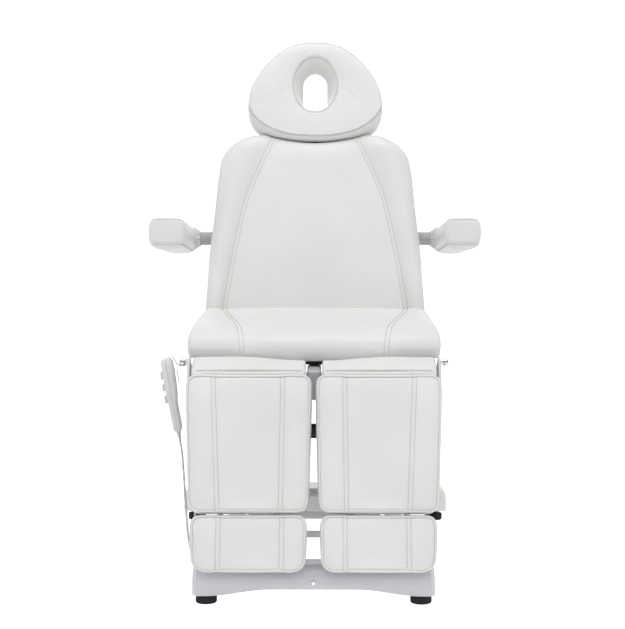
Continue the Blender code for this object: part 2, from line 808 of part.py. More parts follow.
for side, s in SIGN.items():
    knob = turned(
        [(0, -0.0065), (0.0040, -0.0065), (0.0040, 0.0003), (0.0062, 0.0003),
         (0.0062, 0.0045), (0.0088, 0.0065), (0.0098, 0.0095), (0.0098, 0.0145),
         (0.0085, 0.0175), (0.0050, 0.0190), (0, 0.0194)],
        20,
    )
    knob = moved(
        knob,
        Matrix.Translation((s * 0.3125, -0.250, 0.548))
        @ Matrix.Rotation(s * math.pi / 2, 4, "Y"),
    )
    piece("hook_knob_" + side, from_world(SEAT, knob), SEAT, "chrome")

# back actuator, level in the seat frame, pushing a slotted lever of the back frame
BACK_DROP = BACK_PIVOT[1] - BACK_LINE_Z
back_pin_y = BACK_PIVOT[0] + BACK_DROP * math.tan(BACK_SWEEP_HALF)
body = worked(
    rod((0, -0.135, BACK_LINE_Z), (0, 0.190, BACK_LINE_Z), 0.0175, 16),
    cut=[rod((0, -0.100, BACK_LINE_Z), (0, 0.20, BACK_LINE_Z), 0.0092, 14)],
)
piece("back_actuator_body", from_world(SEAT, body), SEAT, "dark_plastic")
BACK_ROD = axis_empty("back_rod_axis", (0, back_pin_y, BACK_LINE_Z), parent=SEAT)
level_fork = [
    moved(m, Matrix.Rotation(-math.pi / 2, 4, "X"))
    for m in fork(0.0, reach=0.040, depth=0.018)
]
rod_mesh = worked(
    rod((0, 0.030 - back_pin_y, 0), (0, -0.045, 0), 0.0085, 14), add=level_fork
)
piece("back_actuator_rod", rod_mesh, BACK_ROD, "chrome")

# ---------------------------------------------------------------- back
# In the back's frame x is across, y runs out of its rear and z up along it.
BACK_HALF = [
    (0.0, -0.050), (0.296, -0.050), (0.3060, -0.040), (0.3045, 0.080), (0.3005, 0.140),
    (0.2970, 0.210), (0.2920, 0.262), (0.2845, 0.331), (0.2795, 0.384), (0.2755, 0.436),
    (0.2715, 0.472), (0.2640, 0.507), (0.2520, 0.525), (0.2360, 0.541), (0.2110, 0.556),
    (0.1850, 0.5645), (0.1600, 0.5670), (0.1350, 0.5668), (0.1150, 0.5640),
    (0.0850, 0.5575), (0.0450, 0.5495), (0.0, 0.5465),
]
cushion = prism(mirrored(BACK_HALF), -BACK_FACE, -BACK_REAR, "y")
cushion = worked(cushion, bevel=0.010, segments=1, angle=60)
piece("backrest_cushion", cushion, BACK, "leather")


def inset_outline(points, by):
    """A closed outline moved inwards by a distance."""
    n = len(points)
    area = sum(
        points[i][0] * points[(i + 1) % n][1] - points[(i + 1) % n][0] * points[i][1]
        for i in range(n)
    )
    turn = 1.0 if area > 0 else -1.0
    out = []
    for i in range(n):
        p = Vector(points[i])
        u = (p - Vector(points[i - 1])).normalized()
        v = (Vector(points[(i + 1) % n]) - p).normalized()
        n1, n2 = Vector((-u.y, u.x)) * turn, Vector((-v.y, v.x)) * turn
        m = (n1 + n2).normalized()
        out.append(tuple(p + m * (by / max(0.5, m.dot(n1)))))
    return out


cover_half = [(0.0, 0.035), (0.3045, 0.035)] + BACK_HALF[3:]
outer_line = inset_outline(mirrored(cover_half), 0.008)
inner_line = inset_outline(mirrored(cover_half), 0.011)
inner_line = [(x, s - 0.05 if s < 0.06 else s) for x, s in inner_line]
slope_line = inset_outline(mirrored(cover_half), 0.0115)
shell = loft(
    [
        [(x, y, z) for x, z in line]
        for line, y in ((outer_line, -0.0205), (outer_line, 0.027), (slope_line, 0.034))
    ]
)
arm_y, arm_s = -ARM_AXIS[1], ARM_AXIS[0]
cuts = [prism(inner_line, -0.040, 0.031, "y")]
for s in (-1, 1):
    cuts.append(rod((s * 0.25, arm_y, arm_s), (s * 0.30, arm_y, arm_s), 0.0200, 16))
    cuts.append(
        rod((s * HEAD_ROD_X, -HEAD_ROD_OUT, 0.50), (s * HEAD_ROD_X, -HEAD_ROD_OUT, 0.60),
            0.0075, 12)
    )
piece("backrest_rear_cover", worked(shell, cut=cuts), BACK, "white_shell")

parts, cuts = [], []
parts.append(rod((-0.2430, 0, 0), (0.2430, 0, 0), 0.0160, 16))
for s in (-1, 1):
    xs = sorted((s * 0.180, s * 0.200))
    parts.append(box(xs, (-0.012, 0.012), (-0.004, 0.500)))
    parts.append(rod((s * 0.190, arm_y, arm_s), (s * 0.276, arm_y, arm_s), 0.0225, 16))
    cuts.append(rod((s * 0.222, arm_y, arm_s), (s * 0.290, arm_y, arm_s),
                    ARM_TUBE_R + 0.0009, 16))
    guide = (s * HEAD_ROD_X, -HEAD_ROD_OUT)
    parts.append(rod((*guide, 0.395), (*guide, 0.532), 0.0105, 12))
    cuts.append(rod((*guide, 0.30), (*guide, 0.60), 0.0063, 12))
for z in ((0.060, 0.082), (0.405, 0.430), (0.478, 0.500)):
    parts.append(box((-0.195, 0.195), (-0.012, 0.010), z))
lever_out = math.sin(BACK_SWEEP_HALF + BACK_LEAN)
lever_down = -math.cos(BACK_SWEEP_HALF + BACK_LEAN)
parts.append(
    arm_bar((0.0, 0.0), (0.101 * lever_out, 0.101 * lever_down), (-0.005, 0.005), 0.038)
)
cuts.append(rod((-0.26, 0, 0), (0.26, 0, 0), 0.0088, 12))
cuts.append(
    arm_bar((0.069 * lever_out, 0.069 * lever_down),
            (0.098 * lever_out, 0.098 * lever_down), (-0.02, 0.02), 0.0205)
)
frame_mesh = worked(parts[0], add=[parts[1], parts[4], *parts[7:10], parts[2], parts[3],
                                   parts[5], parts[6], *parts[10:]], cut=cuts)
piece("backrest_frame", frame_mesh, BACK, "grey_steel")

# ---------------------------------------------------------------- headrest
HEAD_EXT = axis_empty(
    "headrest_slide_axis",
    (WORLD[BACK.name] @ Vector((0, -HEAD_ROD_OUT, HEAD_PIVOT_S))),
    -BACK_LEAN, parent=BACK,
)
HEAD = axis_empty(
    "headrest_tilt_axis",
    (WORLD[BACK.name] @ Vector((0, -HEAD_ROD_OUT, HEAD_PIVOT_S))),
    -BACK_LEAN, parent=HEAD_EXT,
)


def to_head(mesh):
    """From the back's frame into the headrest's."""
    mesh.transform(Matrix.Translation((0, HEAD_ROD_OUT, -HEAD_PIVOT_S)))
    return mesh


HEAD_HALF = [
    (0.0, 0.5685), (0.060, 0.5695), (0.115, 0.5725), (0.150, 0.5750), (0.1660, 0.5805),
    (0.1790, 0.5945), (0.1885, 0.6125), (0.1930, 0.6390), (0.1912, 0.6750),
    (0.1872, 0.7018), (0.1797, 0.7198), (0.1708, 0.7379), (0.1603, 0.7559),
    (0.1478, 0.7740), (0.1313, 0.7921), (0.1111, 0.8103), (0.0840, 0.8295),
    (0.0420, 0.8445), (0.0, 0.8485),
]
HOLE_FRONT = ((0.0, 0.7216), 0.0655, 0.0845)
HOLE_REAR = ((0.0, 0.7170), 0.0340, 0.0550)


def face_hole(margin=0.0):
    rings = []
    for out, (centre, rx, rz) in (
        (-HEAD_FACE - 0.004, HOLE_FRONT),
        (-HEAD_FACE + 0.022, (HOLE_FRONT[0], 0.054, 0.073)),
        (-HEAD_REAR - 0.012, HOLE_REAR),
        (0.030, HOLE_REAR),
    ):
        rings.append(
            [
                (
                    centre[0] + (rx + margin) * math.cos(2 * math.pi * i / 28),
                    out,
                    centre[1] + (rz + margin) * math.sin(2 * math.pi * i / 28),
                )
                for i in range(28)
            ]
        )
    return loft(rings)


pad = prism(mirrored(HEAD_HALF), -HEAD_FACE, -HEAD_REAR, "y")
pad = worked(pad, bevel=0.012, segments=1, angle=60)
pad = worked(pad, cut=[face_hole()])
piece("headrest_cushion", to_head(pad), HEAD, "leather")

board_line = inset_outline(mirrored(HEAD_HALF), 0.012)
hole_cut = prism(
    [(0.037 * math.cos(2 * math.pi * i / 24),
      0.717 + 0.058 * math.sin(2 * math.pi * i / 24)) for i in range(24)],
    -0.02, 0.03, "y",
)
knuckles, bores = [], []
for s in (-1, 1):
    xs = sorted((s * 0.022, s * 0.038))
    knuckles.append(
        rod((xs[0], -HEAD_ROD_OUT, HEAD_PIVOT_S), (xs[1], -HEAD_ROD_OUT, HEAD_PIVOT_S),
            0.0115, 14)
    )
bores.append(
    rod((-0.08, -HEAD_ROD_OUT, HEAD_PIVOT_S), (0.08, -HEAD_ROD_OUT, HEAD_PIVOT_S),
        0.0063, 12)
)
board = worked(
    prism(board_line, -HEAD_REAR + GAP, 0.0075, "y"), add=knuckles,
    cut=[hole_cut, *bores],
)
piece("headrest_board", to_head(board), HEAD, "ply")

rods = [
    rod((s * HEAD_ROD_X, -HEAD_ROD_OUT, 0.360), (s * HEAD_ROD_X, -HEAD_ROD_OUT, 0.6026),
        0.0060, 12)
    for s in (-1, 1)
]
bar = rod((-0.0525, -HEAD_ROD_OUT, HEAD_PIVOT_S), (0.0525, -HEAD_ROD_OUT, HEAD_PIVOT_S),
          0.0054, 12)
piece("headrest_bracket", to_head(worked(bar, add=rods)), HEAD_EXT, "chrome")

# ---------------------------------------------------------------- armrests
arm_world = WORLD[BACK.name] @ Vector((0, arm_y, arm_s))
ARMS = {
    side: axis_empty("armrest_axis_" + side, arm_world, parent=BACK)
    for side in ("left", "right")
}
PAD_X = (0.338, 0.431)
PAD_REAR_AT = (0.412, 0.8225)
PAD_FRONT_AT = (0.028, 0.8600)
PAD_DEPTH = 0.072
for side, s in SIGN.items():
    run = Vector(PAD_FRONT_AT) - Vector(PAD_REAR_AT)
    length = run.length
    u = run.normalized()
    v = Vector((u.y, -u.x)) if u.x < 0 else Vector((-u.y, u.x))
    rings = []
    count = 24
    for k, (t, w) in enumerate(
        ((0.0, 0.80), (0.03, 0.96), (0.10, 1.0), (0.90, 1.0), (0.97, 0.95), (1.0, 0.80))
    ):
        ring = []
        for i in range(count):
            c, d = math.cos(2 * math.pi * i / count), math.sin(2 * math.pi * i / count)
            px = math.copysign(abs(c) ** 0.55, c) * (PAD_X[1] - PAD_X[0]) / 2 * w
            pz = math.copysign(abs(d) ** 0.55, d) * PAD_DEPTH / 2 * w
            at = Vector(PAD_REAR_AT) + u * (t * length) + v * pz
            ring.append((s * ((PAD_X[0] + PAD_X[1]) / 2 + px), at.x, at.y))
        rings.append(ring)
    arm_pad = worked(
        loft(rings),
        cut=[rod((s * 0.32, arm_world.y, arm_world.z),
                 (s * 0.3743, arm_world.y, arm_world.z), ARM_TUBE_R + 0.0003, 16)],
    )
    piece("armrest_pad_" + side, from_world(ARMS[side], arm_pad), ARMS[side], "leather")
    tube = rod((s * 0.2225, arm_world.y, arm_world.z),
               (s * 0.3740, arm_world.y, arm_world.z), ARM_TUBE_R, 16)
    piece("armrest_tube_" + side, from_world(ARMS[side], tube), ARMS[side], "grey_steel")

# ---------------------------------------------------------------- legs
# In a leg's frame z runs back up the leg and y out of its rear.
for side, s in SIGN.items():
    frame, slide = LEGS[side], FEET[side]

    def X(a, b):
        return sorted((s * a, s * b))

    def arc(r0, r1, a0, a1, steps, x):
        """A band round the pivot from angle a0 to a1, 0 at the pad's side."""
        ring = []
        for k in range(steps + 1):
            t = math.radians(a0 + (a1 - a0) * k / steps)
            ring.append((-r1 * math.cos(t), r1 * math.sin(t)))
        for k in range(steps, -1, -1):
            t = math.radians(a0 + (a1 - a0) * k / steps)
            ring.append((-r0 * math.cos(t), r0 * math.sin(t)))
        return prism(ring, x[0], x[1], "x")

    parts = [rod((s * 0.0215, 0, 0), (s * 0.2990, 0, 0), 0.0180, 16)]
    for gx in GUIDE_X:
        xs = X(gx - 0.006, gx + 0.006)
        parts.append(
            prism(
                [(0.015, 0.0), (-0.015, 0.0), (-0.0600, -0.062), (-0.0600, -0.100),
                 (-0.0430, -0.100), (0.010, -0.020)],
                xs[0], xs[1], "x",
            )
        )
        parts.append(arc(0.012, 0.0317, -20, 100, 8, xs))
        parts.append(
            rod((s * gx, -GUIDE_OUT, -0.072), (s * gx, -GUIDE_OUT, -0.335), 0.0105, 12)
        )
    parts.append(arc(0.0275, 0.0317, 0, 100, 8, X(0.040, 0.270)))
    for z in ((-0.112, -0.080), (-0.300, -0.268)):
        parts.append(box(X(0.050, 0.262), (-0.0622, -0.0480), z))
    cuts = [rod((s * 0.015, 0, 0), (s * 0.310, 0, 0), SHAFT_R + 0.0005, 16)]
    for gx in GUIDE_X:
        cuts.append(
            rod((s * gx, -GUIDE_OUT, -0.125), (s * gx, -GUIDE_OUT, -0.345), 0.0078, 12)
        )
    leg_mesh = worked(parts[0], add=parts[1:], cut=cuts)
    piece("leg_frame_" + side, leg_mesh, frame, "grey_steel")

    roll = worked(arc(0.0325, 0.0600, 5, 98, 8, X(0.0205, 0.3000)), bevel=0.005,
                  segments=1, angle=60)
    piece("knee_roll_" + side, roll, frame, "leather")

    corners = [(s * 0.0055, -0.0095), (s * 0.3050, -0.0095), (s * 0.2840, -0.3515),
               (s * 0.0145, -0.3515)]
    line = rounded(corners, 0.016, 3)
    calf = worked(prism(line, -PAD_FACE, -PAD_REAR, "y"), bevel=0.008, segments=1,
                  angle=60)
    piece("calf_pad_" + side, calf, frame, "leather")

    rods = [
        rod((s * gx, -GUIDE_OUT, -0.200), (s * gx, -GUIDE_OUT, -0.395), 0.0075, 12)
        for gx in GUIDE_X
    ]
    plate = worked(box(X(0.055, 0.250), (-0.0622, -0.0470), (-0.470, -0.378)),
                   bevel=0.002, segments=1)
    piece("foot_slide_" + side, worked(plate, add=rods), slide, "zinc")

    corners = [(s * 0.0165, -0.3560), (s * 0.2810, -0.3560), (s * 0.2680, -0.4885),
               (s * 0.0200, -0.4885)]
    line = rounded(corners, 0.022, 4)
    foot = worked(prism(line, -PAD_FACE, -PAD_REAR, "y"), bevel=0.008, segments=1,
                  angle=60)
    piece("foot_pad_" + side, foot, slide, "leather")

# ---------------------------------------------------------------- handset
HAND = axis_empty("handset_frame", HANDSET_AT, -HANDSET_LEAN, parent=SEAT, about="Y")
hx, hy, hz = (v / 2 for v in HANDSET_SIZE)
BUTTONS = [(y, z) for z in (0.052, 0.022, -0.008) for y in (-0.0105, 0.0105)]
shell_line = rounded([(-hy * 0.86, -hz), (hy * 0.86, -hz), (hy, hz), (-hy, hz)],
                     [0.012, 0.012, 0.010, 0.010], 3)
half = worked(prism(shell_line, -hx, -GAP / 2, "x"), bevel=0.004, segments=1, angle=50)
pockets = [
    box((-hx - 0.005, -hx + 0.0040), (y - 0.0078, y + 0.0078), (z - 0.0098, z + 0.0098))
    for y, z in BUTTONS
]
half = worked(half, cut=pockets)
piece("handset_front", half, HAND, "grey_plastic")
half = worked(prism(shell_line, GAP / 2, hx, "x"), bevel=0.004, segments=1, angle=50)
hook = worked(
    box((hx - 0.002, hx + 0.0085), (-0.006, 0.006), (0.030, 0.064)),
    cut=[box((hx + 0.001, hx + 0.0055), (-0.01, 0.01), (0.020, 0.054))],
)
piece("handset_back", worked(half, add=[hook]), HAND, "grey_plastic")
for k, (y, z) in enumerate(BUTTONS):
    name = ("back_up", "back_down", "seat_up", "seat_down", "lift_up", "lift_down")[k]
    b = worked(
        box((-0.0075, 0.0), (-0.0070, 0.0070), (-0.0090, 0.0090)), bevel=0.0012,
        segments=1,
    )
    key = piece("button_" + name, b, HAND, "button")
    key.location = (-hx - 0.0015 + 0.0040, y, z)

relief = turned(
    [(0, -0.0205), (0.0034, -0.0205), (0.0040, -0.0170), (0.0036, -0.0160),
     (0.0044, -0.0120), (0.0040, -0.0110), (0.0050, -0.0070), (0.0046, -0.0060),
     (0.0058, -0.0003), (0, -0.0003)],
    16,
)
piece("handset_strain_relief",
      moved(relief, Matrix.Translation((0.0, 0.0, -hz))), HAND, "grey_plastic")


def smooth_route(points, count):
    """Evenly spaced points on a centripetal curve through the given points."""
    pts = [Vector(p) for p in points]
    pts = [pts[0] * 2 - pts[1], *pts, pts[-1] * 2 - pts[-2]]
    dense = []
    for i in range(1, len(pts) - 2):
        p0, p1, p2, p3 = pts[i - 1 : i + 3]
        t0 = 0.0
        t1 = t0 + (p1 - p0).length ** 0.5
        t2 = t1 + (p2 - p1).length ** 0.5
        t3 = t2 + (p3 - p2).length ** 0.5
        for k in range(40):
            t = t1 + (t2 - t1) * k / 40
            a1 = p0 * ((t1 - t) / (t1 - t0)) + p1 * ((t - t0) / (t1 - t0))
            a2 = p1 * ((t2 - t) / (t2 - t1)) + p2 * ((t - t1) / (t2 - t1))
            a3 = p2 * ((t3 - t) / (t3 - t2)) + p3 * ((t - t2) / (t3 - t2))
            b1 = a1 * ((t2 - t) / (t2 - t0)) + a2 * ((t - t0) / (t2 - t0))
            b2 = a2 * ((t3 - t) / (t3 - t1)) + a3 * ((t - t1) / (t3 - t1))
            dense.append(b1 * ((t2 - t) / (t2 - t1)) + b2 * ((t - t1) / (t2 - t1)))
    dense.append(pts[-2])
    runs = [0.0]
    for a, b in zip(dense, dense[1:]):
        runs.append(runs[-1] + (b - a).length)
    out = []
    j = 0
    for k in range(count):
        want = runs[-1] * k / (count - 1)
        while j < len(runs) - 2 and runs[j + 1] < want:
            j += 1
        f = (want - runs[j]) / max(1e-9, runs[j + 1] - runs[j])
        out.append(dense[j].lerp(dense[j + 1], min(1.0, max(0.0, f))))
    return out


def tube_curve(name, points, radius, finish, cyclic=False, resolution=2):
    data = bpy.data.curves.new(name, "CURVE")
    data.dimensions = "3D"
    data.bevel_depth = radius
    data.bevel_resolution = resolution
    data.use_fill_caps = not cyclic
    spline = data.splines.new("POLY")
    spline.points.add(len(points) - 1)
    for p, co in zip(spline.points, points):
        p.co = (*co, 1.0)
    spline.use_cyclic_u = cyclic
    data.materials.append(material(name + "_finish", *FINISH[finish]))
    o = bpy.data.objects.new(name, data)
    SCENE.objects.link(o)
    return o


hand = WORLD[HAND.name]
cord_start = hand @ Vector((0, 0, -hz - 0.0205 - GAP))
cord_down = (hand.to_3x3() @ Vector((0, 0, -1))).normalized()
cord_end = Vector(GLAND_AT) + Vector((-0.0145 - 4 * GAP, 0, 0))
CORD_ROUTE = [
    cord_start,
    cord_start + cord_down * 0.030,
    (-0.3240, -0.246, 0.270),
    (-0.3200, -0.238, 0.180),
    (-0.3170, -0.212, 0.100),
    (-0.3155, -0.165, 0.056),
    (-0.3150, -0.110, 0.047),
    (-0.3150, -0.058, 0.072),
    (-0.3155, -0.022, 0.140),
    (-0.3165, 0.000, 0.240),
    (-0.3175, 0.014, 0.350),
    (-0.3175, 0.024, 0.440),
    (-0.3140, 0.029, 0.480),
    (-0.3065, 0.030, 0.4965),
    (-0.3010, 0.030, 0.4995),
    cord_end,
]
cord = tube_curve("handset_cord", smooth_route(CORD_ROUTE, 62), CORD_D / 2, "cord")
cord.data.transform(WORLD[SEAT.name].inverted())
cord.parent = SEAT

gland = turned(
    [(0, -0.0060), (0.0050, -0.0060), (0.0050, 0.0003), (0.0095, 0.0003),
     (0.0095, 0.0050), (0.0070, 0.0065), (0.0050, 0.0145), (0, 0.0145)],
    16,
)
gland = moved(gland, Matrix.Translation(GLAND_AT) @ Matrix.Rotation(-math.pi / 2, 4, "Y"))
piece("cord_gland", from_world(SEAT, gland), SEAT, "dark_plastic")

# hanging loop: from the top of the handset up and over the left knob
top_mid = hand @ Vector((0.0, 0, hz))
LOOP_R = 0.0012
# the loop lies round the knob's neck between the plate and the head
neck_x = -0.3125 - 0.0027
around = []
for k in range(13):
    t = math.radians(-60 + 300 * k / 12)
    around.append(
        Vector((neck_x, -0.250 + 0.0078 * math.cos(t), 0.548 + 0.0078 * math.sin(t)))
    )
lower_right, lower_left = around[0], around[-1]
hang = [
    Vector((-0.3235, -0.2580, 0.5380)),
    Vector((-0.3370, -0.2560, 0.5420)),
    Vector((-0.3500, -0.2530, 0.5640)),
    Vector((top_mid.x + 0.004, -0.2500, top_mid.z + 0.0052)),
    Vector((-0.3500, -0.2470, 0.5640)),
    Vector((-0.3370, -0.2440, 0.5420)),
    Vector((-0.3235, -0.2420, 0.5380)),
]
loop_obj = tube_curve("handset_loop", around + hang, LOOP_R, "cord", cyclic=True)
loop_obj.data.transform(WORLD[SEAT.name].inverted())
loop_obj.parent = SEAT

# the drawing's origin is the base's own middle; the part's is the whole chair's
BASE.location.y = MIDDLE_SHIFT

bpy.context.view_layer.update()
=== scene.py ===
import math

import bmesh
import bpy
import numpy as np
from mathutils import Matrix, Vector, noise
from mathutils.bvhtree import BVHTree


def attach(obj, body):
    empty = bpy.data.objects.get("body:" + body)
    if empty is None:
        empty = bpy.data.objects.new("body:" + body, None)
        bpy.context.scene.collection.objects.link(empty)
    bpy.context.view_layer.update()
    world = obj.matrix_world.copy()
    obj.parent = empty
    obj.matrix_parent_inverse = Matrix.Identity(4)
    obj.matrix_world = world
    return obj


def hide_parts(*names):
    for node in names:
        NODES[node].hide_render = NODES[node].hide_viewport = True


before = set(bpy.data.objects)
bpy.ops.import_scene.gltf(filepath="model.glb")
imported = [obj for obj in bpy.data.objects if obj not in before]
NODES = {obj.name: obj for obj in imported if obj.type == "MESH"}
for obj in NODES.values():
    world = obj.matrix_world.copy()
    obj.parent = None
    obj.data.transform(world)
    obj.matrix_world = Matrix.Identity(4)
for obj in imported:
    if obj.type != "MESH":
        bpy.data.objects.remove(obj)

SCENE = bpy.context.scene
COL = SCENE.collection
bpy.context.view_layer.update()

# the same joint frames as the part's own
SHIFT = 0.0112
BACK_PIVOT = (0.0, 0.310 + SHIFT, 0.555)
BACK_LEAN = math.radians(15.0)
LEG_PIVOT = (0.0, -0.240 + SHIFT, 0.490)
LEG_LEAN = math.radians(25.9)
BACK_M = Matrix.Translation(BACK_PIVOT) @ Matrix.Rotation(-BACK_LEAN, 4, "X")
LEG_M = Matrix.Translation(LEG_PIVOT) @ Matrix.Rotation(-LEG_LEAN, 4, "X")
ROW_M = Matrix.Translation((0, SHIFT, 0))
SIGN = {"left": -1, "right": 1}

# ------------------------------------------------------------------ camera
cam_data = bpy.data.cameras.new("camera")
cam_data.lens = 83.0
cam_data.sensor_width = 36.0
cam_data.clip_end = 60.0
cam = bpy.data.objects.new("camera", cam_data)
cam.location = (0.019, -3.80 + SHIFT, 0.98)
cam.rotation_euler = (math.radians(90 - 5.06), 0, 0.0064)
COL.objects.link(cam)
SCENE.camera = cam


# ------------------------------------------------------------------ materials
def shader_of(name, colour, rough, metal=0.0, **more):
    m = bpy.data.materials.new(name)
    m.use_nodes = True
    nt = m.node_tree
    p = nt.nodes["Principled BSDF"]
    p.inputs["Base Color"].default_value = (*colour, 1.0)
    p.inputs["Roughness"].default_value = rough
    p.inputs["Metallic"].default_value = metal
    for k, v in more.items():
        p.inputs[k.replace("_", " ")].default_value = v
    m.diffuse_color = (*colour, 1.0)
    return m, nt, p


def new(nt, kind, **values):
    n = nt.nodes.new(kind)
    for k, v in values.items():
        if hasattr(n, k):
            setattr(n, k, v)
        else:
            n.inputs[k.replace("_", " ")].default_value = v
    return n


def coords(nt, scale):
    t = nt.nodes.new("ShaderNodeTexCoord")
    mp = nt.nodes.new("ShaderNodeMapping")
    mp.inputs["Scale"].default_value = scale if hasattr(scale, "__len__") else (scale,) * 3
    nt.links.new(t.outputs["Object"], mp.inputs["Vector"])
    return mp.outputs["Vector"]


def noise_node(nt, vec, scale, detail=3.0, rough=0.5):
    n = nt.nodes.new("ShaderNodeTexNoise")
    n.inputs["Scale"].default_value = scale
    n.inputs["Detail"].default_value = detail
    n.inputs["Roughness"].default_value = rough
    nt.links.new(vec, n.inputs["Vector"])
    return n.outputs["Fac"]


def ramp(nt, fac, stops):
    r = nt.nodes.new("ShaderNodeValToRGB")
    e = r.color_ramp.elements
    while len(e) < len(stops):
        e.new(0.5)
    for el, (pos, col) in zip(e, stops):
        el.position = pos
        el.color = (*col, 1.0) if len(col) == 3 else col
    nt.links.new(fac, r.inputs["Fac"])
    return r.outputs["Color"]


def spread(nt, fac, lo, hi, a=0.3, b=0.7):
    m = nt.nodes.new("ShaderNodeMapRange")
    m.inputs["From Min"].default_value = a
    m.inputs["From Max"].default_value = b
    m.inputs["To Min"].default_value = lo
    m.inputs["To Max"].default_value = hi
    nt.links.new(fac, m.inputs["Value"])
    return m.outputs["Result"]


def bump(nt, height, strength, distance, under=None):
    b = nt.nodes.new("ShaderNodeBump")
    b.inputs["Strength"].default_value = strength
    b.inputs["Distance"].default_value = distance
    nt.links.new(height, b.inputs["Height"])
    if under is not None:
        nt.links.new(under, b.inputs["Normal"])
    return b.outputs["Normal"]


def leather(name, colour=(0.80, 0.795, 0.785), grain=1.0, shade=0.03):
    """Smooth artificial leather: a fine pebble grain with pores, faint soft creases,
    and slight changes of tone and gloss."""
    m, nt, p = shader_of(name, colour, 0.42, Specular_IOR_Level=0.45)
    vec = coords(nt, 1.0)
    broad = noise_node(nt, vec, 5.0, 2.0)
    fine = noise_node(nt, vec, 190.0, 4.0)
    a = tuple(c * (1 - shade) for c in colour)
    b = tuple(min(0.98, c * (1 + shade * 0.6)) for c in colour)
    tone = ramp(nt, broad, [(0.32, a), (0.68, b)])
    mix = nt.nodes.new("ShaderNodeMix")
    mix.data_type = "RGBA"
    mix.blend_type = "MULTIPLY"
    mix.inputs["Factor"].default_value = 0.35
    nt.links.new(tone, mix.inputs["A"])
    nt.links.new(ramp(nt, fine, [(0.3, (0.93,) * 3), (0.6, (1.0,) * 3)]), mix.inputs["B"])
    nt.links.new(mix.outputs["Result"], p.inputs["Base Color"])
    nt.links.new(spread(nt, noise_node(nt, vec, 42.0, 3.0), 0.36, 0.52), p.inputs["Roughness"])
    cells = nt.nodes.new("ShaderNodeTexVoronoi")
    cells.feature = "DISTANCE_TO_EDGE"
    cells.inputs["Scale"].default_value = 620.0
    cells.inputs["Randomness"].default_value = 0.9
    warp = nt.nodes.new("ShaderNodeMix")
    warp.data_type = "VECTOR"
    warp.inputs["Factor"].default_value = 0.02
    wn = nt.nodes.new("ShaderNodeTexNoise")
    wn.inputs["Scale"].default_value = 90.0
    nt.links.new(vec, wn.inputs["Vector"])
    nt.links.new(vec, warp.inputs["A"])
    nt.links.new(wn.outputs["Color"], warp.inputs["B"])
    nt.links.new(warp.outputs["Result"], cells.inputs["Vector"])
    edge = ramp(nt, cells.outputs["Distance"], [(0.0, (0, 0, 0)), (0.16, (1, 1, 1))])
    creases = bump(nt, noise_node(nt, vec, 26.0, 3.0, 0.55), 0.10, 0.004)
    n = bump(nt, edge, 0.16 * grain, 0.00012, creases)
    nt.links.new(n, p.inputs["Normal"])
    return m


def paint(name, colour, rough=0.38, peel=1.0, shade=0.03, metal=0.0, coat=0.0):
    """Powder coat or moulded cover: fine orange peel, a little dust and rub along it."""
    m, nt, p = shader_of(name, colour, rough, metal, Coat_Weight=coat)
    vec = coords(nt, 1.0)
    a = tuple(c * (1 - shade) for c in colour)
    b = tuple(min(0.98, c * (1 + shade)) for c in colour)
    nt.links.new(ramp(nt, noise_node(nt, vec, 9.0, 4.0, 0.6), [(0.3, a), (0.7, b)]),
                 p.inputs["Base Color"])
    nt.links.new(spread(nt, noise_node(nt, vec, 60.0, 4.0), rough * 0.85, min(1.0, rough * 1.25)),
                 p.inputs["Roughness"])
    n = bump(nt, noise_node(nt, vec, 420.0, 2.0), 0.10 * peel, 0.00025)
    nt.links.new(n, p.inputs["Normal"])
    return m


def metal(name, colour, rough, brushed=None):
    m, nt, p = shader_of(name, colour, rough, 1.0)
    vec = coords(nt, brushed or 1.0)
    f = noise_node(nt, vec, 240.0 if not brushed else 60.0, 3.0)
    nt.links.new(spread(nt, f, rough * 0.8, rough * 1.5), p.inputs["Roughness"])
    a = tuple(c * 0.94 for c in colour)
    nt.links.new(ramp(nt, noise_node(nt, vec, 30.0, 3.0), [(0.3, a), (0.7, colour)]),
                 p.inputs["Base Color"])
    nt.links.new(bump(nt, f, 0.05, 0.0002), p.inputs["Normal"])
    return m


def plastic(name, colour, rough=0.5, texture=1.0, shade=0.04):
    """Spark-eroded moulded plastic: a fine matt texture."""
    m, nt, p = shader_of(name, colour, rough)
    vec = coords(nt, 1.0)
    a = tuple(c * (1 - shade) for c in colour)
    b = tuple(min(0.98, c * (1 + shade)) for c in colour)
    nt.links.new(ramp(nt, noise_node(nt, vec, 24.0, 4.0), [(0.3, a), (0.7, b)]),
                 p.inputs["Base Color"])
    f = noise_node(nt, vec, 1500.0, 2.0)
    nt.links.new(bump(nt, f, 0.12 * texture, 0.0002), p.inputs["Normal"])
    nt.links.new(spread(nt, noise_node(nt, vec, 80.0, 3.0), rough * 0.9, min(1, rough * 1.15)),
                 p.inputs["Roughness"])
    return m


def rubber(name, colour, rough=0.8):
    m, nt, p = shader_of(name, colour, rough)
    vec = coords(nt, 1.0)
    a = tuple(c * 0.7 for c in colour)
    b = tuple(min(1, c * 1.8 + 0.004) for c in colour)
    nt.links.new(ramp(nt, noise_node(nt, vec, 70.0, 5.0, 0.65), [(0.35, a), (0.75, b)]),
                 p.inputs["Base Color"])
    nt.links.new(spread(nt, noise_node(nt, vec, 130.0, 3.0), rough * 0.85, min(1, rough * 1.15)),
                 p.inputs["Roughness"])
    nt.links.new(bump(nt, noise_node(nt, vec, 900.0, 3.0), 0.2, 0.0003), p.inputs["Normal"])
    return m


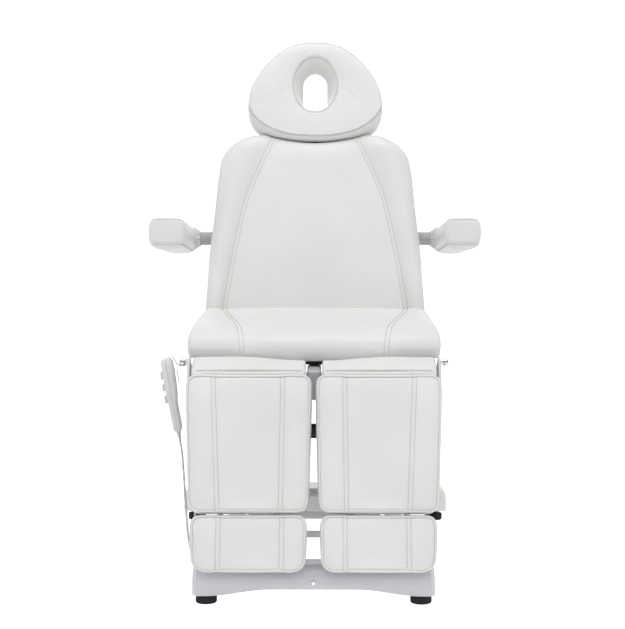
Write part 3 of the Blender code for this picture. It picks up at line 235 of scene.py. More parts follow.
def plywood(name):
    m, nt, p = shader_of(name, (0.55, 0.42, 0.27), 0.65)
    vec = coords(nt, (1.0, 9.0, 1.0))
    w = nt.nodes.new("ShaderNodeTexNoise")
    w.inputs["Scale"].default_value = 14.0
    w.inputs["Detail"].default_value = 8.0
    w.inputs["Distortion"].default_value = 0.6
    nt.links.new(vec, w.inputs["Vector"])
    nt.links.new(ramp(nt, w.outputs["Fac"], [(0.3, (0.42, 0.30, 0.18)), (0.7, (0.62, 0.48, 0.32))]),
                 p.inputs["Base Color"])
    nt.links.new(spread(nt, w.outputs["Fac"], 0.55, 0.8), p.inputs["Roughness"])
    nt.links.new(bump(nt, w.outputs["Fac"], 0.15, 0.0005), p.inputs["Normal"])
    return m


def two_tone(name, low, high, at, rough, axis="Z"):
    """Powder coat in one colour before a place along an axis and another after it."""
    m = paint(name, high, rough, 1.2, 0.03)
    nt = m.node_tree
    p = nt.nodes["Principled BSDF"]
    vec = coords(nt, 1.0)
    sep = nt.nodes.new("ShaderNodeSeparateXYZ")
    nt.links.new(vec, sep.inputs["Vector"])
    along = sep.outputs[axis]
    if axis == "X":
        side = nt.nodes.new("ShaderNodeMath")
        side.operation = "ABSOLUTE"
        nt.links.new(along, side.inputs[0])
        along = side.outputs[0]
    fac = spread(nt, along, 0.0, 1.0, at - 0.001, at + 0.001)
    mix = nt.nodes.new("ShaderNodeMix")
    mix.data_type = "RGBA"
    nt.links.new(fac, mix.inputs["Factor"])
    f = noise_node(nt, vec, 9.0, 4.0, 0.6)
    nt.links.new(ramp(nt, f, [(0.3, tuple(c * 0.97 for c in low)), (0.7, low)]), mix.inputs["A"])
    nt.links.new(ramp(nt, f, [(0.3, tuple(c * 0.8 for c in high)), (0.7, high)]), mix.inputs["B"])
    nt.links.new(mix.outputs["Result"], p.inputs["Base Color"])
    return m


LEATHER = (0.80, 0.795, 0.785)
MAT = {
    "leather_back": leather("leather_back"),
    "leather_seat": leather("leather_seat"),
    "leather_head": leather("leather_head"),
    "leather_arm": leather("leather_arm", grain=1.1),
    "leather_leg": leather("leather_leg"),
    "leather_foot": leather("leather_foot"),
    "piping": leather("piping_leather", (0.78, 0.775, 0.765), 0.8),
    # partly painted shade: the thread's dark grey is its own colour plus the shadow of the needle holes
    # painted into it
    "thread": plastic("thread", (0.36, 0.355, 0.345), 0.75, 0.6),
    "elastic": leather("elastic_leather", (0.76, 0.755, 0.745), 1.2, 0.05),
    "shell": paint("white_cover", (0.90, 0.905, 0.915), 0.34, 0.8, 0.015, coat=0.1),
    "white_steel": paint("white_powder_coat", (0.72, 0.725, 0.745), 0.40, 1.2, 0.02),
    "black_steel": two_tone("two_tone_powder_coat", (0.62, 0.62, 0.65), (0.010, 0.010, 0.011),
                            0.28, 0.42),
    "grey_steel": paint("grey_powder_coat", (0.42, 0.415, 0.445), 0.42, 1.2, 0.03),
    # painted light and shade: the seat frame is painted near-white beyond 0.20 m from the middle, lifting its
    # side brackets out of the shade under the seat, and darker grey in the middle where it sits in that shade
    "seat_steel_light_and_shade": two_tone("seat_frame_painted_light_and_shade", (0.46, 0.455, 0.485), (0.95, 0.95, 0.96), 0.20,
                           0.42, "X"),
    "chrome": metal("chrome", (0.82, 0.82, 0.84), 0.10),
    "zinc": metal("zinc_plate", (0.62, 0.63, 0.64), 0.34),
    "rubber": rubber("foot_rubber", (0.012, 0.012, 0.012)),
    "ply": plywood("plywood"),
    # painted shade: a near-black sheet that stands in for the shadow in the gaps under the seat and under the
    # headrest
    "painted_shade_sheet": rubber("painted_shade_black", (0.014, 0.014, 0.015), 0.9),
    # painted shade: the front base cover is a darker grey than the white rear base cover, standing in for the
    # shade on its front face
    "base_cover": paint("base_cover", (0.700, 0.695, 0.730), 0.34, 0.8, 0.015, coat=0.1),
    "handset": plastic("handset_plastic", (0.77, 0.765, 0.76), 0.46),
    "dark": plastic("dark_plastic", (0.045, 0.045, 0.05), 0.5),
    "key": plastic("key_plastic", (0.66, 0.665, 0.68), 0.5),
    "cord": rubber("cord_jacket", (0.70, 0.685, 0.65), 0.55),
}


# ------------------------------------------------------------------ mesh tools
def add_object(name, mesh):
    o = bpy.data.objects.new(name, mesh)
    COL.objects.link(o)
    return o


def evaluated_mesh(o):
    bpy.context.view_layer.update()
    graph = bpy.context.evaluated_depsgraph_get()
    return bpy.data.meshes.new_from_object(o.evaluated_get(graph))


def bake(o):
    """The object's modifiers applied to its mesh."""
    mesh = evaluated_mesh(o)
    o.modifiers.clear()
    old = o.data
    o.data = mesh
    if old.users == 0:
        bpy.data.meshes.remove(old)
    return o


def get_co(mesh):
    co = np.empty(len(mesh.vertices) * 3, np.float32)
    mesh.vertices.foreach_get("co", co)
    return co.reshape(-1, 3).astype(float)


def set_co(mesh, co):
    mesh.vertices.foreach_set("co", np.asarray(co, np.float32).ravel())
    mesh.update()


def get_normals(mesh):
    n = np.empty(len(mesh.vertices) * 3, np.float32)
    mesh.vertices.foreach_get("normal", n)
    return n.reshape(-1, 3).astype(float)


def solid(bm):
    bm.normal_update()
    bmesh.ops.recalc_face_normals(bm, faces=bm.faces[:])
    if bm.calc_volume(signed=True) < 0:
        bmesh.ops.reverse_faces(bm, faces=bm.faces[:])
    mesh = bpy.data.meshes.new("shape")
    bm.to_mesh(mesh)
    bm.free()
    return mesh


def loft(rings, caps=True, cyclic=False):
    bm = bmesh.new()
    made = [[bm.verts.new(p) for p in ring] for ring in rings]
    n = len(made[0])
    pairs = list(zip(made, made[1:]))
    if cyclic:
        pairs.append((made[-1], made[0]))
    for low, high in pairs:
        for i in range(n):
            j = (i + 1) % n
            bm.faces.new((low[i], low[j], high[j], high[i]))
    if caps and not cyclic:
        bm.faces.new(made[0])
        bm.faces.new(made[-1])
    return solid(bm)


def turned(profile, sides=48, matrix=None):
    bm = bmesh.new()
    rings = []
    for r, z in profile:
        if r < 1e-7:
            rings.append([bm.verts.new((0, 0, z))])
        else:
            rings.append([bm.verts.new((r * math.cos(2 * math.pi * i / sides),
                                        r * math.sin(2 * math.pi * i / sides), z))
                          for i in range(sides)])
    for low, high in zip(rings, rings[1:]):
        for i in range(sides):
            j = (i + 1) % sides
            if len(low) == 1 and len(high) == 1:
                continue
            if len(low) == 1:
                bm.faces.new((low[0], high[j], high[i]))
            elif len(high) == 1:
                bm.faces.new((low[i], low[j], high[0]))
            else:
                bm.faces.new((low[i], low[j], high[j], high[i]))
    if len(rings[0]) > 1 and len(rings[-1]) > 1:        # a bored piece
        low, high = rings[-1], rings[0]
        for i in range(sides):
            j = (i + 1) % sides
            bm.faces.new((low[i], low[j], high[j], high[i]))
    else:
        for ring in (rings[0], rings[-1]):
            if len(ring) > 1:
                bm.faces.new(ring)
    mesh = solid(bm)
    if matrix is not None:
        mesh.transform(matrix)
    return mesh


def centripetal(points, closed=True, per=14):
    """A dense smooth curve through points of any dimension."""
    pts = [np.array(p, float) for p in points]
    n = len(pts)
    if closed:
        get = lambda i: pts[i % n]
        spans = range(n)
    else:
        first, last = 2 * pts[0] - pts[1], 2 * pts[-1] - pts[-2]
        get = lambda i: first if i < 0 else last if i >= n else pts[i]
        spans = range(n - 1)
    out = []
    for i in spans:
        p0, p1, p2, p3 = get(i - 1), get(i), get(i + 1), get(i + 2)
        t0 = 0.0
        t1 = t0 + max(1e-6, np.linalg.norm(p1 - p0)) ** 0.5
        t2 = t1 + max(1e-6, np.linalg.norm(p2 - p1)) ** 0.5
        t3 = t2 + max(1e-6, np.linalg.norm(p3 - p2)) ** 0.5
        for k in range(per):
            t = t1 + (t2 - t1) * k / per
            a1 = p0 * ((t1 - t) / (t1 - t0)) + p1 * ((t - t0) / (t1 - t0))
            a2 = p1 * ((t2 - t) / (t2 - t1)) + p2 * ((t - t1) / (t2 - t1))
            a3 = p2 * ((t3 - t) / (t3 - t2)) + p3 * ((t - t2) / (t3 - t2))
            b1 = a1 * ((t2 - t) / (t2 - t0)) + a2 * ((t - t0) / (t2 - t0))
            b2 = a2 * ((t3 - t) / (t3 - t1)) + a3 * ((t - t1) / (t3 - t1))
            out.append(b1 * ((t2 - t) / (t2 - t1)) + b2 * ((t - t1) / (t2 - t1)))
    if not closed:
        out.append(pts[-1])
    return np.array(out)


def even(points, step=None, count=None, closed=False):
    """Points spaced evenly along a polyline."""
    p = np.asarray(points, float)
    if closed:
        p = np.vstack([p, p[:1]])
    seg = np.linalg.norm(np.diff(p, axis=0), axis=1)
    run = np.concatenate([[0], np.cumsum(seg)])
    if count is None:
        count = max(2, int(round(run[-1] / step)) + (0 if closed else 1))
    at = np.linspace(0, run[-1], count, endpoint=not closed)
    return np.stack([np.interp(at, run, p[:, k]) for k in range(p.shape[1])], axis=1)


def rounded(corners, radii, steps=8):
    out = []
    n = len(corners)
    for i in range(n):
        p, a, b = Vector(corners[i]), Vector(corners[i - 1]), Vector(corners[(i + 1) % n])
        r = radii[i] if isinstance(radii, (list, tuple)) else radii
        if r <= 0:
            out.append(tuple(p))
            continue
        u, v = (a - p).normalized(), (b - p).normalized()
        half = u.angle(v) / 2
        reach = r / math.tan(half)
        start, end = p + u * reach, p + v * reach
        centre = p + (u + v).normalized() * (r / math.sin(half))
        first, last = start - centre, end - centre
        turn = first.angle_signed(last)
        for k in range(steps + 1):
            w = first.copy()
            w.rotate(Matrix.Rotation(-turn * k / steps, 2))
            out.append(tuple(centre + w))
    return out


def mirrored(half):
    left = [(-x, s) for x, s in reversed(half) if abs(x) > 1e-6]
    return list(half) + left


def inset(line, by):
    """A closed 2-D line moved inwards."""
    p = np.asarray(line, float)
    a = p - np.roll(p, 1, axis=0)
    b = np.roll(p, -1, axis=0) - p
    area = (p[:, 0] * np.roll(p[:, 1], -1) - np.roll(p[:, 0], -1) * p[:, 1]).sum()
    turn = 1.0 if area > 0 else -1.0
    a /= np.maximum(np.linalg.norm(a, axis=1), 1e-9)[:, None]
    b /= np.maximum(np.linalg.norm(b, axis=1), 1e-9)[:, None]
    n1 = np.stack([-a[:, 1], a[:, 0]], 1) * turn
    n2 = np.stack([-b[:, 1], b[:, 0]], 1) * turn
    m = n1 + n2
    m /= np.maximum(np.linalg.norm(m, axis=1), 1e-9)[:, None]
    k = np.maximum(0.5, (m * n1).sum(1))
    return p + m * (by / k)[:, None]


def smoothstep(x, a, b):
    t = np.clip((np.asarray(x, float) - a) / (b - a), 0, 1)
    return t * t * (3 - 2 * t)


def line_distance(points, line, closed=False):
    """Distance of each point to a polyline, any dimension."""
    p = np.asarray(points, float)
    line = np.asarray(line, float)
    if closed:
        line = np.vstack([line, line[:1]])
    best = np.full(len(p), 1e9)
    for a, b in zip(line, line[1:]):
        d = b - a
        t = np.clip(((p - a) @ d) / max(1e-12, d @ d), 0, 1)
        best = np.minimum(best, np.linalg.norm(p - (a + t[:, None] * d), axis=1))
    return best


def tube_mesh(path, r, sides=8, closed=False):
    """A round tube along points; r is one number or one per point."""
    p = np.asarray(path, float)
    n = len(p)
    if closed:
        t = np.roll(p, -1, 0) - np.roll(p, 1, 0)
    else:
        t = np.gradient(p, axis=0)
    t /= np.maximum(np.linalg.norm(t, axis=1), 1e-9)[:, None]
    radii = np.full(n, r) if np.isscalar(r) else np.asarray(r, float)
    ref = np.array([0.0, 0, 1]) if abs(t[0][2]) < 0.9 else np.array([1.0, 0, 0])
    u = np.cross(t[0], ref)
    u /= np.linalg.norm(u)
    frames = []
    for i in range(n):
        u = u - t[i] * (u @ t[i])
        u /= max(1e-9, np.linalg.norm(u))
        frames.append((u.copy(), np.cross(t[i], u)))
    twist = 0.0
    if closed:
        u_end = frames[-1][0] - t[0] * (frames[-1][0] @ t[0])
        u_end /= max(1e-9, np.linalg.norm(u_end))
        twist = math.atan2(u_end @ frames[0][1], u_end @ frames[0][0])
    rings = []
    for i in range(n):
        a, b = frames[i]
        off = -twist * i / n
        rings.append([tuple(p[i] + radii[i] * (a * math.cos(2 * math.pi * k / sides + off)
                                               + b * math.sin(2 * math.pi * k / sides + off)))
                      for k in range(sides)])
    return loft(rings, caps=not closed, cyclic=closed)


def joined(meshes):
    """Several meshes as one."""
    bm = bmesh.new()
    for m in meshes:
        bm.from_mesh(m)
    out = bpy.data.meshes.new("joined")
    bm.to_mesh(out)
    bm.free()
    for m in meshes:
        if m.users == 0:
            bpy.data.meshes.remove(m)
    return out


def smooth(mesh, angle=None):
    mesh.shade_smooth()
    if angle is not None:
        mesh.set_sharp_from_angle(angle=math.radians(angle))
    return mesh


def put(name, mesh, body, material, angle=None, matrix=None, replaces=()):
    """A finished piece in the row frame, riding on its body."""
    if matrix is not None:
        mesh.transform(matrix)
    mesh.name = name
    smooth(mesh, angle)
    mesh.materials.clear()
    mesh.materials.append(MAT[material])
    o = add_object(name, mesh)
    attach(o, body)
    if replaces:
        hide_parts(*replaces)
    return o


# ------------------------------------------------------------------ cord
def smooth_route(points, count):
    pts = [Vector(p) for p in points]
    pts = [pts[0] * 2 - pts[1], *pts, pts[-1] * 2 - pts[-2]]
    dense = []
    for i in range(1, len(pts) - 2):
        p0, p1, p2, p3 = pts[i - 1 : i + 3]
        t0 = 0.0
        t1 = t0 + (p1 - p0).length ** 0.5
        t2 = t1 + (p2 - p1).length ** 0.5
        t3 = t2 + (p3 - p2).length ** 0.5
        for k in range(40):
            t = t1 + (t2 - t1) * k / 40
            a1 = p0 * ((t1 - t) / (t1 - t0)) + p1 * ((t - t0) / (t1 - t0))
            a2 = p1 * ((t2 - t) / (t2 - t1)) + p2 * ((t - t1) / (t2 - t1))
            a3 = p2 * ((t3 - t) / (t3 - t2)) + p3 * ((t - t2) / (t3 - t2))
            b1 = a1 * ((t2 - t) / (t2 - t0)) + a2 * ((t - t0) / (t2 - t0))
            b2 = a2 * ((t3 - t) / (t3 - t1)) + a3 * ((t - t1) / (t3 - t1))
            dense.append(b1 * ((t2 - t) / (t2 - t1)) + b2 * ((t - t1) / (t2 - t1)))
    dense.append(pts[-2])
    runs = [0.0]
    for a, b in zip(dense, dense[1:]):
        runs.append(runs[-1] + (b - a).length)
    out = []
    j = 0
    for k in range(count):
        want = runs[-1] * k / (count - 1)
        while j < len(runs) - 2 and runs[j + 1] < want:
            j += 1
        f = (want - runs[j]) / max(1e-9, runs[j + 1] - runs[j])
        out.append(dense[j].lerp(dense[j + 1], min(1.0, max(0.0, f))))
    return out, runs[-1]


HAND_M = Matrix.Translation((-0.350, -0.250 + SHIFT, 0.466)) @ Matrix.Rotation(
    -math.radians(9.0), 4, "Y"
)
HAND_HALF = (0.0145, 0.025, 0.092)
cord_start = HAND_M @ Vector((0, 0, -HAND_HALF[2] - 0.0205 - 0.0003))
cord_down = (HAND_M.to_3x3() @ Vector((0, 0, -1))).normalized()
GLAND_AT = Vector((-0.2803, 0.030 + SHIFT, 0.500))
ROUTE = [
    cord_start,
    cord_start + cord_down * 0.030,
    *[Vector((x, y + SHIFT, z)) for x, y, z in (
        (-0.3240, -0.246, 0.270), (-0.3200, -0.238, 0.180), (-0.3170, -0.212, 0.100),
        (-0.3155, -0.165, 0.056), (-0.3150, -0.110, 0.047), (-0.3150, -0.058, 0.072),
        (-0.3155, -0.022, 0.140), (-0.3165, 0.000, 0.240), (-0.3175, 0.014, 0.350),
        (-0.3175, 0.024, 0.440), (-0.3140, 0.029, 0.480), (-0.3065, 0.030, 0.4965),
        (-0.3010, 0.030, 0.4995))],
    GLAND_AT + Vector((-0.0145 - 0.0012, 0, 0)),
]
route, route_length = smooth_route(ROUTE, 190)
cd = bpy.data.curves.new("handset_cable", "CURVE")
cd.dimensions = "3D"
cd.bevel_depth = 0.003
cd.bevel_resolution = 4
cd.use_fill_caps = True
sp = cd.splines.new("POLY")
sp.points.add(len(route) - 1)
for pt, co in zip(sp.points, route):
    pt.co = (*co, 1.0)
cd.materials.append(MAT["cord"])
cord = add_object("handset_cable", cd)
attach(cord, "seat")
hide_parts("handset_cord")

# ------------------------------------------------------------------ soft pads
SOFT = []          # every pad: object, pins, cap


def pad_start(line, y_face, y_rear, roll, rear_roll, count):
    """A closed pad from its outline, with a rolled front edge and a smaller rear one."""
    line = even(line, count=count, closed=True)
    rings = []
    for k in range(5):
        t = math.pi / 2 * k / 4
        rings.append((rear_roll * (1 - math.sin(t)), y_rear - rear_roll * (1 - math.cos(t))))
    for k in range(7):
        t = math.pi / 2 * k / 6
        rings.append((roll * (1 - math.cos(t)), y_face + roll * (1 - math.sin(t))))
    made = []
    for by, y in rings:
        r = inset(line, by)
        made.append([(x, y, z) for x, z in r])
    return loft(made)


def remeshed(name, mesh, size, settle=2):
    o = add_object(name, mesh)
    m = o.modifiers.new("Remesh", "REMESH")
    m.mode = "VOXEL"
    m.voxel_size = size
    m.use_smooth_shade = True
    if settle:
        s = o.modifiers.new("Smooth", "SMOOTH")
        s.factor = 0.5
        s.iterations = settle
    return bake(o)


def to_simulate(o, pinned, cap, pressure=4.0, stiffness=8.0):
    """Readies a pad for the pressure simulation.  pinned is a mask of its points."""
    rec = {"obj": o, "cap": cap, "start": get_co(o.data), "normals": get_normals(o.data)}
    SOFT.append(rec)
    g = o.vertex_groups.new(name="pins")
    g.add([int(i) for i in np.nonzero(pinned)[0]], 1.0, "REPLACE")
    m = o.modifiers.new("Cloth", "CLOTH")
    s = m.settings
    s.quality = 4
    s.mass = 0.3
    s.tension_stiffness = stiffness
    s.compression_stiffness = stiffness
    s.shear_stiffness = stiffness * 0.6
    s.bending_stiffness = 0.5
    s.air_damping = 1.0
    s.vertex_group_mass = "pins"
    s.pin_stiffness = 1.0
    s.use_pressure = True
    s.uniform_pressure_force = pressure
    s.effector_weights.gravity = 0.0
    m.collision_settings.use_collision = False
    m.collision_settings.use_self_collision = False
    m.point_cache.frame_start = 1
    m.point_cache.frame_end = 20
    return rec


def simulate():
    for f in range(1, 21):
        SCENE.frame_set(f)
    graph = bpy.context.evaluated_depsgraph_get()
    for r in SOFT:
        mesh = r["obj"].evaluated_get(graph).to_mesh()
        r["end"] = get_co(mesh)
        r["obj"].evaluated_get(graph).to_mesh_clear()
    for r in SOFT:
        r["obj"].modifiers.clear()
    SCENE.frame_set(1)
    for r in SOFT:
        if "end" in r and len(r["end"]) == len(r["start"]):
            d = r["end"] - r["start"]
            inward = np.minimum(0, (d * r["normals"]).sum(1))
            d -= r["normals"] * (inward * 0.9)[:, None]
            n = np.linalg.norm(d, axis=1)
            k = r["cap"] * np.tanh(n / r["cap"]) / np.maximum(n, 1e-9)
            set_co(r["obj"].data, r["start"] + d * k[:, None])
        r["obj"].vertex_groups.clear()


def finer(o, levels=1):
    m = o.modifiers.new("Subdivision", "SUBSURF")
    m.levels = m.render_levels = levels
    m.boundary_smooth = "ALL"
    return bake(o)


def refine(o, lines, reaches):
    """Cuts the mesh finer beside lines, once for each reach."""
    for reach in reaches:
        co = get_co(o.data)
        near = np.zeros(len(co), bool)
        for line in lines:
            lo, hi = np.min(line, 0) - reach, np.max(line, 0) + reach
            close = np.nonzero(((co > lo) & (co < hi)).all(1))[0]
            if len(close):
                near[close[line_distance(co[close], line) < reach]] = True
        bm = bmesh.new()
        bm.from_mesh(o.data)
        bm.verts.ensure_lookup_table()
        edges = [e for e in bm.edges if near[e.verts[0].index] and near[e.verts[1].index]]
        bmesh.ops.subdivide_edges(bm, edges=edges, cuts=1, use_grid_fill=True)
        bm.to_mesh(o.data)
        bm.free()
        o.data.update()


def press_seams(o, lines, rows=0.0050, crease=0.0002, depth=0.0002, band=0.0007, pucker=0.0003,
                seed=0.0):
    """A top-stitched seam: a fine crease, a low band on each side of it, and a row of
    stitches pulled into each edge of the band."""
    mesh = o.data
    co, n = get_co(mesh), get_normals(mesh)
    reach = rows + 0.010
    move = np.zeros(len(co))
    done = np.full(len(co), 1e9)
    for line in lines:
        line = np.asarray(line)
        lo, hi = line.min(0) - reach, line.max(0) + reach
        close = np.nonzero(((co > lo) & (co < hi)).all(1))[0]
        if not len(close):
            continue
        d = line_distance(co[close], line)
        g = -crease * np.exp(-((d / 0.0011) ** 2))
        g += band * (1 - smoothstep(d, rows - 0.0018, rows - 0.0004))
        g -= depth * np.exp(-(((d - rows) / 0.0013) ** 2))
        w = np.array([noise.noise(Vector((c[0] * 120, c[1] * 120 + seed, c[2] * 120)))
                      for c in co[close]])
        g += pucker * w * np.exp(-(((d - rows) / 0.007) ** 2))
        nearer = d < done[close]
        move[close] = np.where(nearer, g, move[close])
        done[close] = np.minimum(done[close], d)
    set_co(mesh, co + n * move[:, None])


def bvh_of(mesh):
    co = get_co(mesh)
    return BVHTree.FromPolygons([tuple(c) for c in co], [tuple(p.vertices) for p in mesh.polygons])


def cast(bvh, start, direction):
    hit = bvh.ray_cast(Vector(start), Vector(direction))
    return (hit[0], hit[1]) if hit[0] is not None else (None, None)


def on_face(bvh, line2, y0=-0.30):
    """Points of a pad's own (x, z) line dropped onto its front face, with normals."""
    out, normals = [], []
    for x, z in line2:
        p, n = cast(bvh, (x, y0, z), (0, 1, 0))
        if p is not None:
            out.append(tuple(p))
            normals.append(tuple(n))
    return np.array(out), np.array(normals)


def groove(o, lines, depth, width, puff=0.0, puff_width=0.010, pucker=0.0, seed=0.0):
    """Sinks the surface along lines and lifts it slightly beside them."""
    mesh = o.data
    co, n = get_co(mesh), get_normals(mesh)
    reach = max(width * 3, puff_width * 3)
    move = np.zeros(len(co))
    for line in lines:
        line = np.asarray(line)
        lo, hi = line.min(0) - reach, line.max(0) + reach
        close = np.nonzero(((co > lo) & (co < hi)).all(1))[0]
        if not len(close):
            continue
        d = line_distance(co[close], line)
        g = -depth * np.exp(-((d / width) ** 2))
        g += puff * np.exp(-(((d - puff_width) / (puff_width * 0.6)) ** 2))
        if pucker:
            w = np.array([noise.noise(Vector((c[0] * 130, c[1] * 130 + seed, c[2] * 130)))
                          for c in co[close]])
            g += pucker * w * np.exp(-((d / 0.012) ** 2))
        worse = np.abs(g) > np.abs(move[close])
        move[close] = np.where(worse, g, move[close])
    set_co(mesh, co + n * move[:, None])


def stitches(line, normals, gap=0.0064, length=0.0036, r=0.00070, sink=0.0001):
    """Small thread stitches along a line that lies on a surface."""
    line, normals = np.asarray(line), np.asarray(normals)
    seg = np.linalg.norm(np.diff(line, axis=0), axis=1)
    run = np.concatenate([[0], np.cumsum(seg)])
    verts, faces = [], []
    at = gap / 2
    sides, stations = 6, ((-0.5, 0.35, -1.0), (-0.36, 1.0, 0.15), (0.0, 1.05, 0.6),
                          (0.36, 1.0, 0.15), (0.5, 0.35, -1.0))

    def point(v):
        return (np.array([np.interp(v, run, line[:, k]) for k in range(3)]),
                np.array([np.interp(v, run, normals[:, k]) for k in range(3)]))

    while at < run[-1] - gap / 2:
        c, n = point(at)
        a, _ = point(at - length / 2)
        b, _ = point(at + length / 2)
        t = (b - a) / max(1e-9, np.linalg.norm(b - a))
        n = n - t * (n @ t)
        n /= max(1e-9, np.linalg.norm(n))
        s = np.cross(t, n)
        first = len(verts)
        for along, wide, up in stations:
            o = c + t * along * length + n * (up * r - sink)
            for k in range(sides):
                ang = 2 * math.pi * k / sides
                verts.append(tuple(o + (s * math.cos(ang) + n * math.sin(ang)) * r * wide))
        for q in range(len(stations) - 1):
            for k in range(sides):
                k2 = (k + 1) % sides
                i = first + q * sides
                faces.append((i + k, i + k2, i + sides + k2, i + sides + k))
        faces.append(tuple(first + k for k in reversed(range(sides))))
        i = first + (len(stations) - 1) * sides
        faces.append(tuple(i + k for k in range(sides)))
        at += gap
    mesh = bpy.data.meshes.new("stitches")
    mesh.from_pydata(verts, [], faces)
    bm = bmesh.new()
    bm.from_mesh(mesh)
    bmesh.ops.recalc_face_normals(bm, faces=bm.faces[:])
    bm.to_mesh(mesh)
    bm.free()
    return mesh


def snapped(bvh, points, lift):
    """Points moved to the nearest place on a surface and lifted off it."""
    out = []
    for p in points:
        q, n, _, _ = bvh.find_nearest(Vector(p))
        out.append(tuple(q + n * lift))
    return np.array(out)


def eased(points, rounds=3, closed=True):
    p = np.asarray(points, float)
    for _ in range(rounds):
        if closed:
            p = (np.roll(p, 1, 0) + 2 * p + np.roll(p, -1, 0)) / 4
        else:
            q = p.copy()
            q[1:-1] = (p[:-2] + 2 * p[1:-1] + p[2:]) / 4
            p = q
    return p


def offset_line(line2, by):
    """A 2-D open line moved sideways."""
    p = np.asarray(line2, float)
    t = np.gradient(p, axis=0)
    t /= np.maximum(np.linalg.norm(t, axis=1), 1e-9)[:, None]
    return p + np.stack([t[:, 1], -t[:, 0]], 1) * by


# ------------------------------------------------------------------ backrest pad
BACK_FACE, BACK_REAR = 0.080, 0.0215
BACK_HALF = [
    (0.0, -0.050), (0.200, -0.050), (0.286, -0.050), (0.3025, -0.040), (0.3050, 0.000),
    (0.3045, 0.080), (0.3005, 0.140), (0.2970, 0.210), (0.2920, 0.262), (0.2845, 0.331),
    (0.2795, 0.384), (0.2755, 0.436), (0.2715, 0.472), (0.2640, 0.507), (0.2520, 0.525),
    (0.2368, 0.544), (0.2110, 0.5615), (0.1850, 0.5722), (0.1600, 0.5742),
    (0.1350, 0.5728), (0.1150, 0.5672), (0.0850, 0.5605), (0.0450, 0.5532), (0.0, 0.5508),
]
BACK_HALF = [(x * 1.006, s) for x, s in BACK_HALF]
back_line = even(centripetal(mirrored(BACK_HALF)), count=360, closed=True)
BACK_SEAM = np.array([
    (0.2600, -0.0100), (0.2575, 0.0400), (0.2495, 0.0936), (0.2355, 0.1806),
    (0.2191, 0.2701), (0.1982, 0.3675), (0.1771, 0.4304), (0.1518, 0.4893),
    (0.1189, 0.5650),
])
BACK_EDGE = np.array([(x, s) for x, s in BACK_HALF[4:]])


def back_seam_x(s):
    return np.interp(s, BACK_SEAM[:, 1], BACK_SEAM[:, 0])


def back_half_x(s):
    e = BACK_EDGE[:15]
    return np.interp(s, e[:, 1], e[:, 0])


def shape_back(mesh):
    co = get_co(mesh)
    x, y, s = co[:, 0], co[:, 1], co[:, 2]
    front = smoothstep(-y, 0.030, 0.078)
    ax = np.abs(x)
    xs, xe = back_seam_x(s), back_half_x(s)
    top = 1 - smoothstep(s, 0.535, 0.565)
    t = np.clip((ax - xs) / np.maximum(0.02, xe - xs), 0, 1)
    rise = np.sin(math.pi / 2 * np.clip(t / 0.62, 0, 1)) ** 1.15
    bolster = 0.0155 * rise * (1 - 0.75 * smoothstep(t, 0.62, 1.0)) * (0.45 + 0.55 * top) - 0.0035
    u = np.clip(1 - (ax / xs) ** 2, 0, 1)
    panel = 0.0040 * np.sqrt(u) * (0.4 + 0.6 * top) - 0.0035
    lumbar = 0.0015 * np.exp(-(((s - 0.24) / 0.12) ** 2)) * u
    lean = -0.006 * smoothstep(s, 0.515, 0.575)
    f = np.where(ax > xs, bolster, panel + lumbar) + lean
    co[:, 1] -= f * front
    set_co(mesh, co)


pad = remeshed("backrest_leather",
               pad_start(inset(back_line, -0.0004), -BACK_FACE, -BACK_REAR - 0.0004,
                         0.015, 0.005, 320), 0.0060)
shape_back(pad.data)
co = get_co(pad.data)
seam_d = np.minimum(line_distance(np.abs(co[:, [0]]) * [1, 0] + co[:, [2]] * [0, 1], BACK_SEAM), 1)
pinned = ((seam_d < 0.0045) & (co[:, 1] < -0.06)) | (co[:, 1] > -BACK_REAR - 0.012)
to_simulate(pad, pinned, 0.0040)
BACK = pad

# ------------------------------------------------------------------ headrest pad
HEAD_FACE, HEAD_REAR = 0.085, 0.005
HEAD_HALF = [
    (0.0, 0.5560), (0.045, 0.5580), (0.085, 0.5635), (0.115, 0.5698), (0.140, 0.5770), (0.1600, 0.5875),
    (0.1755, 0.6010), (0.1870, 0.6195), (0.1930, 0.6430), (0.1912, 0.6750),
    (0.1872, 0.7018), (0.1797, 0.7198), (0.1708, 0.7379), (0.1603, 0.7559),
    (0.1478, 0.7740), (0.1313, 0.7921), (0.1111, 0.8103), (0.0850, 0.8305),
    (0.0450, 0.8462), (0.0, 0.8500),
]
head_line = even(centripetal(mirrored(HEAD_HALF)), count=300, closed=True)
HOLE = ((0.7205, 0.0600, 0.0800), (0.7170, 0.0340, 0.0550))
HEAD_SEAM = np.array([
    (-0.1925, 0.6535), (-0.1800, 0.6290), (-0.1600, 0.6075), (-0.1300, 0.5880),
    (-0.0900, 0.5730), (-0.0450, 0.5655), (0.0, 0.5635), (0.0450, 0.5655),
    (0.0900, 0.5730), (0.1300, 0.5880), (0.1600, 0.6075), (0.1800, 0.6290),
    (0.1925, 0.6535),
])
HEAD_SEAM = even(centripetal(HEAD_SEAM, closed=False), count=90)


def oval(cz, rx, rz, y, count=72, power=2.0):
    out = []
    for i in range(count):
        t = 2 * math.pi * i / count
        c, d = math.cos(t), math.sin(t)
        out.append((math.copysign(abs(c) ** (2 / power), c) * rx, y,
                    cz + math.copysign(abs(d) ** (2 / power), d) * rz))
    return out


